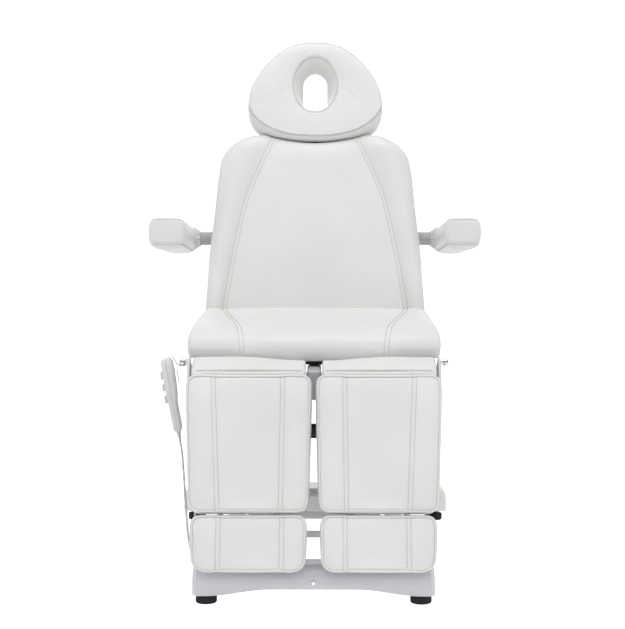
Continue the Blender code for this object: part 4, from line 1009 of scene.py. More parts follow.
def arch(y, rx, top, bottom, corner, count=72):
    """A round-topped opening with straight sides and rounded lower corners."""
    line = [(rx * math.cos(math.pi * i / 24), top - rx * 1.15 + rx * 1.15 * math.sin(math.pi * i / 24))
            for i in range(25)]
    for k in range(9):
        a = math.pi + math.pi / 2 * k / 8
        line.append((-rx + corner + corner * math.cos(a), bottom + corner + corner * math.sin(a)))
    for k in range(9):
        a = 1.5 * math.pi + math.pi / 2 * k / 8
        line.append((rx - corner + corner * math.cos(a), bottom + corner + corner * math.sin(a)))
    line = even(line, count=count * 4, closed=True)
    # one point for each direction from the middle, as the ovals have
    mid = np.array((0.0, (top + bottom) / 2))
    ang = np.arctan2(line[:, 1] - mid[1], line[:, 0])
    out = []
    for i in range(count):
        t = 2 * math.pi * i / count
        k = int(np.argmin(np.abs((ang - t + math.pi) % (2 * math.pi) - math.pi)))
        out.append((line[k][0], y, line[k][1]))
    return out


def hole_cutter():
    (fz, fx, fr), _ = HOLE
    a, b = oval(fz, fx * 0.97, fr * 0.97, -HEAD_FACE + 0.006), arch(0, 0.0345, 0.7735, 0.648, 0.012)

    def between(f, y):
        return [(p[0] * (1 - f) + q[0] * f, y, p[2] * (1 - f) + q[2] * f) for p, q in zip(a, b)]

    return loft([
        oval(fz, fx + 0.012, fr + 0.012, -HEAD_FACE - 0.026),
        oval(fz, fx + 0.003, fr + 0.003, -HEAD_FACE - 0.004),
        oval(fz, fx, fr, -HEAD_FACE + 0.002),
        between(0.10, -HEAD_FACE + 0.010),
        between(0.42, -HEAD_FACE + 0.026),
        between(0.78, -HEAD_FACE + 0.042),
        between(1.0, -HEAD_FACE + 0.056),
        between(1.0, 0.010),
    ])


start = pad_start(inset(head_line, -0.0006), -HEAD_FACE, -HEAD_REAR - 0.0004, 0.013,
                  0.006, 260)
host = add_object("headrest_leather", start)
cutter = add_object("cutter", hole_cutter())
m = host.modifiers.new("Boolean", "BOOLEAN")
m.object = cutter
m.operation = "DIFFERENCE"
m.solver = "EXACT"
start = evaluated_mesh(host)
bpy.data.objects.remove(host, do_unlink=True)
bpy.data.objects.remove(cutter, do_unlink=True)
pad = remeshed("headrest_leather", start, 0.0046, 2)


def shape_head(mesh):
    co = get_co(mesh)
    x, y, s = co[:, 0], co[:, 1], co[:, 2]
    front = smoothstep(-y, 0.012, 0.084)
    low = s - np.interp(x, HEAD_SEAM[:, 0], HEAD_SEAM[:, 1])
    below = np.clip(-low, 0, 1)
    hole = np.hypot(x / HOLE[0][1], (s - HOLE[0][0]) / HOLE[0][2])
    dish = np.hypot(x / 0.135, (s - 0.715) / 0.120)
    crown = -0.0135 * np.exp(-((dish / 0.62) ** 2)) + 0.0015
    crown -= 0.0030 * smoothstep(s, 0.815, 0.850)
    push = np.where(below > 0, -1.05 * below, crown)
    co[:, 1] -= push * front
    set_co(mesh, co)


shape_head(pad.data)
co = get_co(pad.data)
d_seam = line_distance(co[:, [0, 2]], HEAD_SEAM)
hole = np.hypot(co[:, 0] / (HOLE[0][1] + 0.004), (co[:, 2] - HOLE[0][0]) / (HOLE[0][2] + 0.004))
pinned = ((d_seam < 0.0045) & (co[:, 1] < -0.05)) | (co[:, 1] > -HEAD_REAR - 0.014) | (hole < 1.0)
to_simulate(pad, pinned, 0.0036)
HEAD = pad

# ------------------------------------------------------------------ seat pad
SEAT_PROFILE = [
    (-0.192, 0.5428), (-0.150, 0.5450), (0.000, 0.5465), (0.198, 0.5468), (0.206, 0.556), (0.212, 0.585),
    (0.222, 0.608), (0.233, 0.624), (0.238, 0.633), (0.233, 0.6385), (0.212, 0.6385),
    (0.100, 0.6340), (0.0, 0.6290), (-0.080, 0.6245), (-0.130, 0.6195), (-0.158, 0.6145),
    (-0.178, 0.6070), (-0.191, 0.5960), (-0.199, 0.5820), (-0.2025, 0.5680),
    (-0.2028, 0.5540), (-0.2010, 0.5460),
]
SEAT_SEAM_Q = np.array([(0.8600, 0.2540), (0.8046, 0.2458), (0.6545, 0.2203), (0.5693, 0.2025),
                        (0.5063, 0.1925), (0.4332, 0.1855), (0.3879, 0.1817),
                        (0.3556, 0.1795), (0.3450, 0.1790)])[::-1]
seat_profile = even(centripetal(SEAT_PROFILE), count=150, closed=True)


def seat_half(y):
    return 0.3155 - 0.0105 * np.clip((y + 0.20) / 0.42, 0, 1)


def seat_start():
    rings = []
    roll = 0.0075
    line = seat_profile

    def ring(by, place):
        p = inset(line, by)
        h = seat_half(p[:, 0]) + 0.0006
        return [(place(hh), y, z) for hh, (y, z) in zip(h, p)]

    for k in range(6):
        t = math.pi / 2 * k / 5
        rings.append(ring(-0.0004 + roll * (1 - math.sin(t)),
                          lambda h, t=t: -(h - roll + roll * math.cos(t))))
    for k in range(1, 16):
        f = -1 + 2 * k / 16
        rings.append(ring(-0.0004, lambda h, f=f: f * (h - roll)))
    for k in range(6):
        t = math.pi / 2 * (1 - k / 5)
        rings.append(ring(-0.0004 + roll * (1 - math.sin(t)),
                          lambda h, t=t: h - roll + roll * math.cos(t)))
    return loft(rings)


def shape_seat(mesh):
    co = get_co(mesh)
    n = get_normals(mesh)
    x, y, z = co.T
    ax = np.abs(x)
    q = y + z
    xs = np.interp(q, SEAT_SEAM_Q[:, 0], SEAT_SEAM_Q[:, 1])
    outer = smoothstep(n[:, 2] * 0.8 - n[:, 1] * 0.9, 0.25, 0.8) * smoothstep(z, 0.556, 0.575)
    t = np.clip((ax - xs) / np.maximum(0.02, seat_half(y) - xs), 0, 1)
    bolster = 0.0070 * np.sin(math.pi / 2 * np.clip(t / 0.5, 0, 1)) * (1 - 0.55 * smoothstep(t, 0.6, 1.0))
    panel = 0.0040 * np.clip(1 - (ax / xs) ** 2, 0, 1) ** 0.8 - 0.0012
    rear_fade = 1 - 0.6 * smoothstep(y, 0.16, 0.235)
    co += n * (np.where(ax > xs, bolster, panel) * outer * rear_fade)[:, None]
    lift = 0.0082 * smoothstep(np.abs(co[:, 0]), 0.045, 0.185)
    low = (1 - smoothstep(co[:, 2], 0.548, 0.585)) * (1 - smoothstep(co[:, 1], -0.19, -0.10))
    co[:, 2] += lift * low
    set_co(mesh, co)


pad = remeshed("seat_leather", seat_start(), 0.0064)
shape_seat(pad.data)
co = get_co(pad.data)
q = co[:, 1] + co[:, 2]
xs = np.interp(q, SEAT_SEAM_Q[:, 0], SEAT_SEAM_Q[:, 1])
seam = (np.abs(np.abs(co[:, 0]) - xs) < 0.0045) & (co[:, 2] > 0.556) & ((co[:, 1] < -0.15) | (co[:, 2] > 0.60))
pinned = seam | (co[:, 2] < 0.5560)
to_simulate(pad, pinned, 0.0036)
SEAT = pad

# ------------------------------------------------------------------ leg and foot pads (left, then copied)
PAD_FACE, PAD_REAR = 0.118, 0.063
CALF_LINE = rounded([(-0.0045, -0.0085), (-0.3090, -0.0085), (-0.2895, -0.3496),
                     (-0.0135, -0.3496)], [0.022, 0.025, 0.024, 0.024], 10)
FOOT_LINE = rounded([(-0.0150, -0.3513), (-0.2885, -0.3513), (-0.2800, -0.4885),
                     (-0.0185, -0.4885)], [0.022, 0.024, 0.034, 0.030], 10)
CALF_SEAMS = [np.array([(-0.2425, -0.0060), (-0.2228, -0.3560)]),
              np.array([(-0.0741, -0.0060), (-0.0768, -0.3560)])]
FOOT_SEAMS = [np.array([(-0.2209, -0.3500), (-0.2190, -0.4930)]),
              np.array([(-0.0731, -0.3500), (-0.0735, -0.4930)])]


def leg_pad(name, line, seams, size, raise_by, sink, rear_roll):
    pad = remeshed(name, pad_start(inset(even(line, count=240, closed=True), -0.0004),
                                   -PAD_FACE + 0.0008, -PAD_REAR - 0.0006, 0.0070, rear_roll,
                                   240), size)
    co = get_co(pad.data)
    x, y, s = co.T
    front = smoothstep(-y, PAD_FACE - 0.034, PAD_FACE - 0.003)
    outer = np.interp(-s, -seams[0][:, 1], seams[0][:, 0])
    inner = np.interp(-s, -seams[1][:, 1], seams[1][:, 0])
    lo_x, hi_x = np.min(line, 0)[0], np.max(line, 0)[0]
    top, low = np.max(line, 0)[1], np.min(line, 0)[1]
    mid = np.clip((x - outer) / (inner - outer), 0, 1)
    centre = -sink * np.sin(math.pi * mid) ** 0.5
    t_out = np.clip((outer - x) / (outer - lo_x), 0, 1)
    t_in = np.clip((x - inner) / (hi_x - inner), 0, 1)
    side = raise_by * (np.sin(math.pi * t_out ** 0.6) ** 0.9 + np.sin(math.pi * t_in ** 0.6) ** 0.9)
    ends = np.minimum(1 - np.exp(-(((top - s) / 0.050) ** 2)), 1 - np.exp(-(((s - low) / 0.020) ** 2)))
    fall = -0.0060 * np.exp(-(((top - s) / 0.036) ** 2)) - 0.0020 * np.exp(-(((s - low) / 0.016) ** 2))
    co[:, 1] -= (1.5 * centre * ends + 1.2 * side * (0.5 + 0.5 * ends) + fall) * front
    depth = np.clip((y + PAD_FACE) / (PAD_FACE - PAD_REAR), 0, 1)
    co[:, 2] += (0.016 if rear_roll > 0.02 else 0.010) * depth * (1 - smoothstep(s - low, 0.0, 0.045))
    set_co(pad.data, co)
    co = get_co(pad.data)
    near = np.minimum(line_distance(co[:, [0, 2]], seams[0]), line_distance(co[:, [0, 2]], seams[1]))
    pinned = ((near < 0.0045) & (co[:, 1] < -PAD_FACE + 0.02)) | (co[:, 1] > -PAD_REAR - 0.012)
    to_simulate(pad, pinned, 0.0028)
    return pad


CALF = leg_pad("calf_leather_left", CALF_LINE, CALF_SEAMS, 0.0052, 0.0048, 0.0060, 0.016)
FOOT = leg_pad("foot_leather_left", FOOT_LINE, FOOT_SEAMS, 0.0048, 0.0040, 0.0050, 0.022)

# knee roll: a band of foam bent round the hinge
KNEE_X = (-0.0200, -0.3005)


def knee_start():
    outline = []
    inner_r, outer_r = 0.0338, 0.0606
    for k in range(15):
        a = math.radians(4 + (98 - 4) * k / 14)
        outline.append((outer_r, a))
    for k in range(14, -1, -1):
        a = math.radians(4 + (98 - 4) * k / 14)
        outline.append((inner_r, a))
    flat = [(-r * math.cos(a), r * math.sin(a)) for r, a in outline]
    flat = even(flat, count=90, closed=True)
    rings = []
    roll = 0.0055
    for k in range(6):
        t = math.pi / 2 * k / 5
        rings.append((roll * (1 - math.sin(t)), KNEE_X[1] + roll * (1 - math.cos(t))))
    for k in range(1, 12):
        rings.append((0.0, KNEE_X[1] + roll + (KNEE_X[0] - KNEE_X[1] - 2 * roll) * k / 12))
    for k in range(6):
        t = math.pi / 2 * (1 - k / 5)
        rings.append((roll * (1 - math.sin(t)), KNEE_X[0] - roll * (1 - math.cos(t))))
    return loft([[(x, y, z) for y, z in inset(flat, -0.0002 + by)] for by, x in rings])


pad = remeshed("knee_leather_left", knee_start(), 0.0046)
co = get_co(pad.data)
r = np.hypot(co[:, 1], co[:, 2])
up = smoothstep(co[:, 2], 0.030, 0.055)
grow = 0.0085 * up * smoothstep(-co[:, 0], 0.045, 0.19) * smoothstep(r, 0.040, 0.058)
co[:, 2] += grow
set_co(pad.data, co)
r = np.hypot(co[:, 1], co[:, 2])
to_simulate(pad, r < 0.040, 0.0022)
KNEE = pad

# ------------------------------------------------------------------ armrest pad (left)
PAD_X = (0.338, 0.431)
ARM_OUT = (0.3440, 0.4405)       # the padding stands a little proud on the outside
ARM_REAR_AT = np.array((0.412 + SHIFT, 0.8225))
ARM_FRONT_AT = np.array((0.028 + SHIFT, 0.8600))
ARM_AXIS = (0.38859 + SHIFT, 0.82900)
ARM_DEPTH = 0.072
run = ARM_FRONT_AT - ARM_REAR_AT
arm_length = float(np.linalg.norm(run))
arm_u = run / arm_length
arm_v = np.array((arm_u[1], -arm_u[0]))
arm_M = Matrix((
    (1, 0, 0, -(ARM_OUT[0] + ARM_OUT[1]) / 2),
    (0, arm_u[0], arm_v[0], ARM_REAR_AT[0]),
    (0, arm_u[1], arm_v[1], ARM_REAR_AT[1]),
    (0, 0, 0, 1),
))          # local: x across, y from the rear to the front along the pad, z up


def arm_start():
    rings = []
    hw, hd = (ARM_OUT[1] - ARM_OUT[0]) / 2 + 0.0004, ARM_DEPTH / 2 + 0.0036
    stations = []
    for k in range(7):
        t = math.pi / 2 * k / 6
        stations.append((0.0150 * (1 - math.sin(t)), 0.0150 * (1 - math.cos(t))))
    count = 72
    places = [(by, at) for by, at in stations]
    places += [(0.0, 0.0150 + (arm_length - 0.030) * k / 16) for k in range(1, 16)]
    places += [(by, arm_length - at) for by, at in reversed(stations)]
    for by, at in places:
        ring = []
        for i in range(count):
            c, d = math.cos(2 * math.pi * i / count), math.sin(2 * math.pi * i / count)
            px = math.copysign(abs(c) ** 0.54, c) * (hw - by)
            pz = math.copysign(abs(d) ** 0.54, d) * (hd - by)
            if pz < 0:          # the underside is narrower, and the front end hangs lower
                pz *= 1 + 0.20 * (max(at, 0.0) / arm_length) ** 2
                px *= 1 - 0.10 * (min(1.0, -pz / hd)) ** 3
            ring.append((px, at, pz))
        rings.append(ring)
    return loft(rings)


pad = remeshed("armrest_leather_left", arm_start(), 0.0050)
co = get_co(pad.data)
TOP_Z, LOW_Z = 0.0310, -0.0300
pinned = (np.abs(co[:, 2] - LOW_Z) < 0.003) | (co[:, 2] < -ARM_DEPTH / 2 + 0.004) | (
    np.abs(co[:, 2] - TOP_Z) < 0.0022)
to_simulate(pad, pinned, 0.0038)
ARM = pad

simulate()

# ------------------------------------------------------------------ finish the pads
THREAD = []


def stitch_rows(name, bvh, lines2, offsets, body, matrix, mirror=False, y0=-0.30, gap=0.0064):
    """Rows of stitches beside seams drawn on a pad's face."""
    parts = []
    for line in lines2:
        dense = even(line, step=0.0025)
        for by in offsets:
            p, n = on_face(bvh, offset_line(dense, by), y0)
            if len(p) > 3:
                parts.append(stitches(p, n, gap))
    mesh = joined(parts)
    return mesh


def give(name, mesh, material, body, matrix, replaces=(), mirror=False):
    if mirror:
        mesh = mesh.copy()
        mesh.transform(Matrix.Scale(-1, 4, (1, 0, 0)))
        mesh.flip_normals()
    o = put(name, mesh, body, material, matrix=matrix, replaces=replaces)
    return o


def take_mesh(o):
    mesh = o.data
    bpy.data.objects.remove(o, do_unlink=True)
    return mesh


# backrest
finer(BACK)
seam3 = []
bvh = bvh_of(BACK.data)
for s in (-1, 1):
    line = even(centripetal([(s * x, z) for x, z in BACK_SEAM], closed=False), step=0.006)
    p, n = on_face(bvh, line)
    seam3.append(p)
refine(BACK, seam3, (0.013, 0.009))
press_seams(BACK, seam3, seed=1.0)
edge2 = inset(even(back_line, count=420, closed=True), 0.0085)
bvh = bvh_of(BACK.data)
edge3 = np.array([(x, -BACK_FACE + 0.0095, z) for x, z in edge2])
edge3 = eased(snapped(bvh, edge3, 0.0004), 3)
rows = joined([
    stitch_rows("", bvh, [even(centripetal([(s * x, z) for x, z in BACK_SEAM], closed=False),
                               step=0.004) for s in (-1, 1)], (-0.0050, 0.0050), "back", BACK_M)])
piping_back = tube_mesh(edge3, 0.0015, 8, closed=True)
give("backrest_pad", take_mesh(BACK), "leather_back", "back", BACK_M, replaces=("backrest_cushion",))
give("backrest_stitching", rows, "thread", "back", BACK_M)
give("backrest_piping", piping_back, "piping", "back", BACK_M)

# headrest
finer(HEAD)
bvh = bvh_of(HEAD.data)
p, n = on_face(bvh, HEAD_SEAM)
rim = np.array(oval(HOLE[0][0], HOLE[0][1] + 0.0035, HOLE[0][2] + 0.0035, -HEAD_FACE, 90))
rim3 = snapped(bvh, rim, 0.0)
rim3 = eased(rim3, 2)
refine(HEAD, [p, np.vstack([rim3, rim3[:1]])], (0.010, 0.005))
groove(HEAD, [p], 0.0016, 0.0022, 0.0003, 0.007, 0.0002, 5.0)
groove(HEAD, [np.vstack([rim3, rim3[:1]])], 0.0016, 0.0022, 0.0003, 0.006, 0.0002, 8.0)
bvh = bvh_of(HEAD.data)
p, n = on_face(bvh, HEAD_SEAM)
top = [q for q in inset(head_line, 0.0060) if q[1] > 0.662]
top = np.array(sorted(top, key=lambda v: -math.atan2(v[1] - 0.662, v[0])))
top3 = np.array([(x, -HEAD_FACE + 0.0075, z) for x, z in top])
top3 = eased(snapped(bvh, top3, 0.0006), 3, closed=False)
loop3 = np.vstack([top3, (p + n * 0.0009)[::-1]])
loop3 = even(eased(np.vstack([top3[:1], loop3[1:]]), 2), step=0.004, closed=True)
rim3 = eased(snapped(bvh, rim3, 0.0009), 1)
parts = [tube_mesh(loop3, 0.0017, 10, closed=True), tube_mesh(rim3, 0.0015, 10, closed=True)]
rows = joined([stitch_rows("", bvh, [HEAD_SEAM], (-0.0042,), "headrest", BACK_M)])
head_pad = give("headrest_pad", take_mesh(HEAD), "leather_head", "headrest", BACK_M,
                replaces=("headrest_cushion",))
# painted shade: the downward faces along the headrest's lower edge get the near-black sheet, standing in for
# the shadow in the gap above the backrest
head_pad.data.materials.append(MAT["painted_shade_sheet"])
inv = BACK_M.inverted()
inv3 = inv.to_3x3()
for face in head_pad.data.polygons:
    c, n_ = inv @ face.center, inv3 @ face.normal
    if n_.z < -0.94 and -0.060 + 0.30 * abs(c.x) < c.y < -0.008 and c.z < 0.590 and abs(c.x) < 0.100:
        face.material_index = 1
give("headrest_piping", joined(parts), "piping", "headrest", BACK_M)
mid = np.array((0.0, 0.0, HOLE[0][0]))
inner_rim = np.array([(c[0] * 0.962, c[1] + 0.001, mid[2] + (c[2] - mid[2]) * 0.970) for c in rim3])
inner_rim = eased(snapped(bvh, inner_rim, 0.0003), 1)
p2, n2 = on_face(bvh, offset_line(even(HEAD_SEAM, step=0.003), -0.0021))
seam_threads = [tube_mesh(inner_rim, 0.00045, 6, closed=True)]
if len(p2) > 3:
    seam_threads.append(tube_mesh(p2 + n2 * 0.0001, 0.00035, 6))
rows = joined([rows, *seam_threads])
give("headrest_stitching", rows, "thread", "headrest", BACK_M)

# seat
finer(SEAT)
bvh = bvh_of(SEAT.data)


def seat_seam(s, by=0.0):
    """The seam over the seat's top and front, found by casting from outside it."""
    pts, normals = [], []
    for q in np.linspace(0.858, 0.352, 150):
        x = s * (np.interp(q, SEAT_SEAM_Q[:, 0], SEAT_SEAM_Q[:, 1]) + by)
        # along the line y + z = q, from outside towards the cushion's middle
        d = Vector((0, 1, -1)).normalized()
        mid_y = (q - 0.60) / 2
        start = Vector((x, (q - 0.95) / 2 - 0.0, (q + 0.95) / 2))
        hit, nn = cast(bvh, start, d)
        if hit is not None and nn.dot(d) < 0:
            pts.append(tuple(hit))
            normals.append(tuple(nn))
    return np.array(pts), np.array(normals)


seams = [seat_seam(s) for s in (-1, 1)]
refine(SEAT, [s[0] for s in seams], (0.013, 0.009))
press_seams(SEAT, [s[0] for s in seams], rows=0.0055, seed=3.0)
bvh = bvh_of(SEAT.data)
parts = []
for s in (-1, 1):
    for by in (-0.0057, 0.0057):
        p, n = seat_seam(s, by)
        p = even(eased(p, 2, closed=False), step=0.003)
        n2 = np.array([bvh.find_nearest(Vector(v))[1] for v in p])
        parts.append(stitches(p, n2))
seat_thread = joined(parts)
parts = []
for s in (-1, 1):
    edge = inset(seat_profile, 0.0065)
    h = seat_half(edge[:, 0]) - 0.0025 - 0.0045
    line = np.array([(s * hh, y, z) for hh, (y, z) in zip(h, edge)])
    line = eased(snapped(bvh, line, 0.0004), 3)
    parts.append(tube_mesh(line, 0.0016, 8, closed=True))
give("seat_pad", take_mesh(SEAT), "leather_seat", "seat", ROW_M, replaces=("seat_cushion",))
give("seat_stitching", seat_thread, "thread", "seat", ROW_M)
give("seat_piping", joined(parts), "piping", "seat", ROW_M)


# leg and foot pads
def both(label, mesh, material, carrier, cad=None, matrix=LEG_M):
    """The right piece is the left one mirrored."""
    right = mesh.copy()
    right.transform(Matrix.Scale(-1, 4, (1, 0, 0)))
    right.flip_normals()
    for side, m_ in (("left", mesh), ("right", right)):
        o = put(label + "_" + side, m_, carrier + side, material, matrix=matrix,
                replaces=(cad + side,) if cad else ())


def leg_pieces(pad, line, seams, label, cad, carrier, material):
    finer(pad)
    bvh = bvh_of(pad.data)
    long = [even(s, step=0.006) for s in seams]
    seam3 = [on_face(bvh, l)[0] for l in long]
    refine(pad, seam3, (0.012, 0.0085))
    press_seams(pad, seam3, rows=0.0050, seed=11.0)
    bvh = bvh_of(pad.data)
    rows = stitch_rows("", bvh, long, (-0.0050, 0.0050), "", None)
    e2 = inset(even(line, count=300, closed=True), 0.0058)
    e3 = np.array([(x, -PAD_FACE + 0.004, z) for x, z in e2])
    e3 = eased(snapped(bvh, e3, 0.0007), 2)
    refine(pad, [np.vstack([e3, e3[:1]])], (0.008,))
    groove(pad, [np.vstack([e3, e3[:1]])], 0.0016, 0.0026, 0.0, 0.006, 0.0002, 13.0)
    b2 = inset(even(line, count=260, closed=True), 0.0008)
    b3 = np.array([(x, -PAD_REAR - 0.010, z) for x, z in b2])
    b3 = eased(snapped(bvh, b3, 0.0002), 2)
    pipes = joined([tube_mesh(e3, 0.0021, 10, closed=True), tube_mesh(b3, 0.0015, 8, closed=True)])
    both(label + "_leather", take_mesh(pad), material, carrier, cad)
    both(label + "_stitching", rows, "thread", carrier)
    both(label + "_piping", pipes, "piping", carrier)


leg_pieces(CALF, CALF_LINE, CALF_SEAMS, "calf", "calf_pad_", "leg_", "leather_leg")
leg_pieces(FOOT, FOOT_LINE, FOOT_SEAMS, "foot", "foot_pad_", "foot_", "leather_foot")

# knee rolls
finer(KNEE)
bvh = bvh_of(KNEE.data)
seam_line = []
for x in np.linspace(-0.030, -0.291, 60):
    a = math.radians(14)
    hit, nn = cast(bvh, (x, -0.20 * math.cos(a), 0.20 * math.sin(a)), (0, math.cos(a), -math.sin(a)))
    if hit is not None:
        seam_line.append(tuple(hit))
seam_line = np.array(seam_line)
refine(KNEE, [seam_line], (0.009,))
groove(KNEE, [seam_line], 0.0014, 0.0018, 0.0004, 0.006, 0.0003, 21.0)
bvh = bvh_of(KNEE.data)
p = snapped(bvh, seam_line + np.array([0, 0, 0.0035]), 0.0)
n2 = np.array([bvh.find_nearest(Vector(v))[1] for v in p])
rows = stitches(p, n2)
both("knee_leather", take_mesh(KNEE), "leather_leg", "leg_", "knee_roll_")
both("knee_stitching", rows, "thread", "leg_")

# armrests
finer(ARM)
bvh = bvh_of(ARM.data)


def arm_ring(z, count=200, wide=0.30):
    """A closed line round the pad at one height."""
    out = []
    centre = np.array((0.0, arm_length / 2))
    for i in range(count):
        t = 2 * math.pi * i / count
        d = np.array((math.cos(t) * 0.35, math.sin(t)))
        d /= np.linalg.norm(d)
        far = centre + np.array((math.cos(t) * 0.12, math.sin(t) * 0.32))
        back = centre + np.array((0.0, math.sin(t) * arm_length * 0.40))
        v = back - far
        v /= np.linalg.norm(v)
        hit, nn = cast(bvh, (far[0], far[1], z), (v[0], v[1], 0))
        if hit is not None:
            out.append(tuple(hit))
    return np.array(out)


top_ring, low_ring = arm_ring(TOP_Z), arm_ring(LOW_Z)
closed = [np.vstack([r_, r_[:1]]) for r_ in (top_ring, low_ring)]
refine(ARM, closed, (0.009,))
groove(ARM, closed, 0.0016, 0.0017, 0.0005, 0.006, 0.0004, 31.0)
bvh = bvh_of(ARM.data)
parts = []
for r_, dz in ((top_ring, 0.0036), (low_ring, -0.0036)):
    p = snapped(bvh, even(eased(r_, 1), step=0.003, closed=True) + np.array([0, 0, dz]), 0.0)
    n2 = np.array([bvh.find_nearest(Vector(v))[1] for v in p])
    parts.append(stitches(p, n2))
arm_thread = joined(parts)
arm_pipe = joined([tube_mesh(snapped(bvh, even(eased(r_, 2), step=0.004, closed=True), 0.0005), 0.0013, 8,
                             closed=True) for r_ in (low_ring, top_ring)])

# the gathered cuff round the tube
def cuff():
    """The gathered mouth of the cover, drawn in round the tube by elastic."""
    rings = []
    sides = 190
    for k in range(15):
        f = k / 14
        x = -0.3500 + f * 0.0185
        rad = 0.0205 + 0.0150 * (1 - f) ** 1.4
        ring = []
        for i in range(sides):
            t = 2 * math.pi * i / sides
            w = math.sin(t * 19 + 1.4 * math.sin(t * 3)) + 0.5 * math.sin(t * 31 + 2.0)
            amp = 0.0003 + 0.0012 * f ** 0.7
            out = 0.0012 * f * math.sin(t * 19 + 0.6 + 1.4 * math.sin(t * 3))
            ring.append((x + out, (rad + w * amp + 0.0006 * f) * math.cos(t),
                         (rad + w * amp + 0.0006 * f) * math.sin(t)))
        rings.append(ring)
    inner = [(rings[-1][0][0] - 0.0006, 0.0194 * math.cos(2 * math.pi * i / sides),
              0.0194 * math.sin(2 * math.pi * i / sides)) for i in range(sides)]
    inner2 = [(-0.3500, y, z) for _, y, z in inner]
    mesh = loft([*rings, inner, inner2], caps=False, cyclic=True)
    mesh.transform(Matrix.Translation((0, ARM_AXIS[0], ARM_AXIS[1])))
    return mesh


arm_mesh = take_mesh(ARM)
for mesh_, label, mat, cad, fill in ((arm_mesh, "armrest_leather", "leather_arm", "armrest_pad_", 0.7),
                                     (arm_thread, "armrest_stitching", "thread", None, None),
                                     (arm_pipe, "armrest_piping", "piping", None, None)):
    mesh_.transform(arm_M)
    both(label, mesh_, mat, "armrest_", cad, matrix=None)
both("armrest_cuff", cuff(), "elastic", "armrest_", matrix=None)

# ------------------------------------------------------------------ hard pieces made finer
# front base cover: a rounded top edge, an arched lower edge and chamfered ends
def beam():
    half, front, rear, top, end_z, arch_z = 0.285, -0.480, -0.380, 0.0900, 0.0230, 0.0390
    xs = [0.0, 0.0012, 0.0040, 0.0085]
    xs = [-half + v for v in xs] + list(np.linspace(-half + 0.012, half - 0.012, 61)) + [
        half - v for v in reversed(xs)]
    rings = []
    for x in xs:
        away = half - abs(x)
        cut = 0.0085 * max(0.0, 1 - away / 0.0085)          # the chamfer, seen from above
        low = arch_z - (arch_z - end_z) * float(smoothstep(abs(x), 0.10, 0.255))
        f, r, t = front + cut, rear - cut, top - cut * 0.8
        line = [(r, low), (r, t - 0.010)]
        for k in range(1, 6):
            a_ = math.pi / 2 * k / 6
            line.append((r - 0.010 + 0.010 * math.cos(a_), t - 0.010 + 0.010 * math.sin(a_)))
        line.append((r - 0.010, t))
        line.append((f + 0.045, t))
        for k in range(1, 13):                                # the broad front roll
            a_ = math.pi / 2 * k / 12
            line.append((f + 0.045 - 0.045 * math.sin(a_), t - 0.040 + 0.040 * math.cos(a_)))
        line.append((f, low + 0.004))
        line.append((f + 0.0015, low + 0.0012))
        line.append((f + 0.0040, low))
        rings.append([(x, y, z) for y, z in line])
    return loft(rings)


put("front_base_moulding", beam(), "base", "base_cover", angle=38, matrix=ROW_M.copy(),
    replaces=("front_base_cover",))

# spacer washers on the leg hinge shaft, between the knee rolls
washers = []
for x in (-0.0190, 0.0150):
    w_ = turned([(0.0115, 0.0), (0.0325, 0.0), (0.0330, 0.0005), (0.0330, 0.0035),
                 (0.0325, 0.0040), (0.0115, 0.0040)], 56)
    w_.transform(Matrix.Translation((x, LEG_PIVOT[1], LEG_PIVOT[2]))
                 @ Matrix.Rotation(math.pi / 2, 4, "Y"))
    washers.append(w_)
put("hinge_spacer_washers", joined(washers), "seat", "dark", angle=40)


# handset shells: tapering towards the cable, with a soft outer edge and a parting line
def hand_shell(side):
    """side -1 is the key side, +1 the rear one; local x is the thickness."""
    rings = []
    rows = 22
    for k in range(rows + 1):
        f = k / rows
        z = -HAND_HALF[2] + 2 * HAND_HALF[2] * f
        end = min(f, 1 - f) * 2 * HAND_HALF[2]
        nip = 0.0055 * (1 - min(1.0, end / 0.010)) ** 2
        wide = 0.0200 + 0.0050 * float(smoothstep(f, 0.0, 0.55)) - nip
        deep = 0.0115 + 0.0035 * float(smoothstep(f, 0.10, 0.70)) - nip * 0.8
        if side > 0:
            deep -= 0.0030 * math.exp(-(((f - 0.36) / 0.14) ** 2))
        ring = []
        flat = 20
        for i in range(flat + 1):
            a_ = math.pi * i / flat - math.pi / 2
            c, d = math.cos(a_), math.sin(a_)
            ring.append((side * (0.0003 + (deep - 0.0003) * abs(c) ** 0.42),
                         math.copysign(abs(d) ** 0.62, d) * wide, z))
        rings.append(ring)
    return loft(rings)


front_shell = hand_shell(-1)
host = add_object("handset_key_shell", front_shell)
for y_ in (-0.0105, 0.0105):
    for z_ in (0.052, 0.022, -0.008):
        cut_ = bmesh.new()
        bmesh.ops.create_cube(cut_, size=1.0, matrix=Matrix.Translation((-0.0150, y_, z_))
                              @ Matrix.Diagonal((0.012, 0.0150, 0.0190, 1)))
        bmesh.ops.bevel(cut_, geom=[e for e in cut_.edges if abs(e.verts[0].co.x - e.verts[1].co.x) > 0.001],
                        offset=0.0022, segments=3, profile=0.5, affect="EDGES")
        cm = bpy.data.meshes.new("pocket")
        cut_.to_mesh(cm)
        cut_.free()
        co_ = add_object("pocket", cm)
        m_ = host.modifiers.new("Boolean", "BOOLEAN")
        m_.object = co_
        m_.operation = "DIFFERENCE"
        m_.solver = "EXACT"
        made_ = evaluated_mesh(host)
        host.modifiers.clear()
        host.data = made_
        bpy.data.objects.remove(co_, do_unlink=True)
key_mesh = host.data
bpy.data.objects.remove(host, do_unlink=True)
put("handset_key_shell", key_mesh, "seat", "handset", angle=40, matrix=HAND_M,
    replaces=("handset_front",))
back_mesh = hand_shell(1)
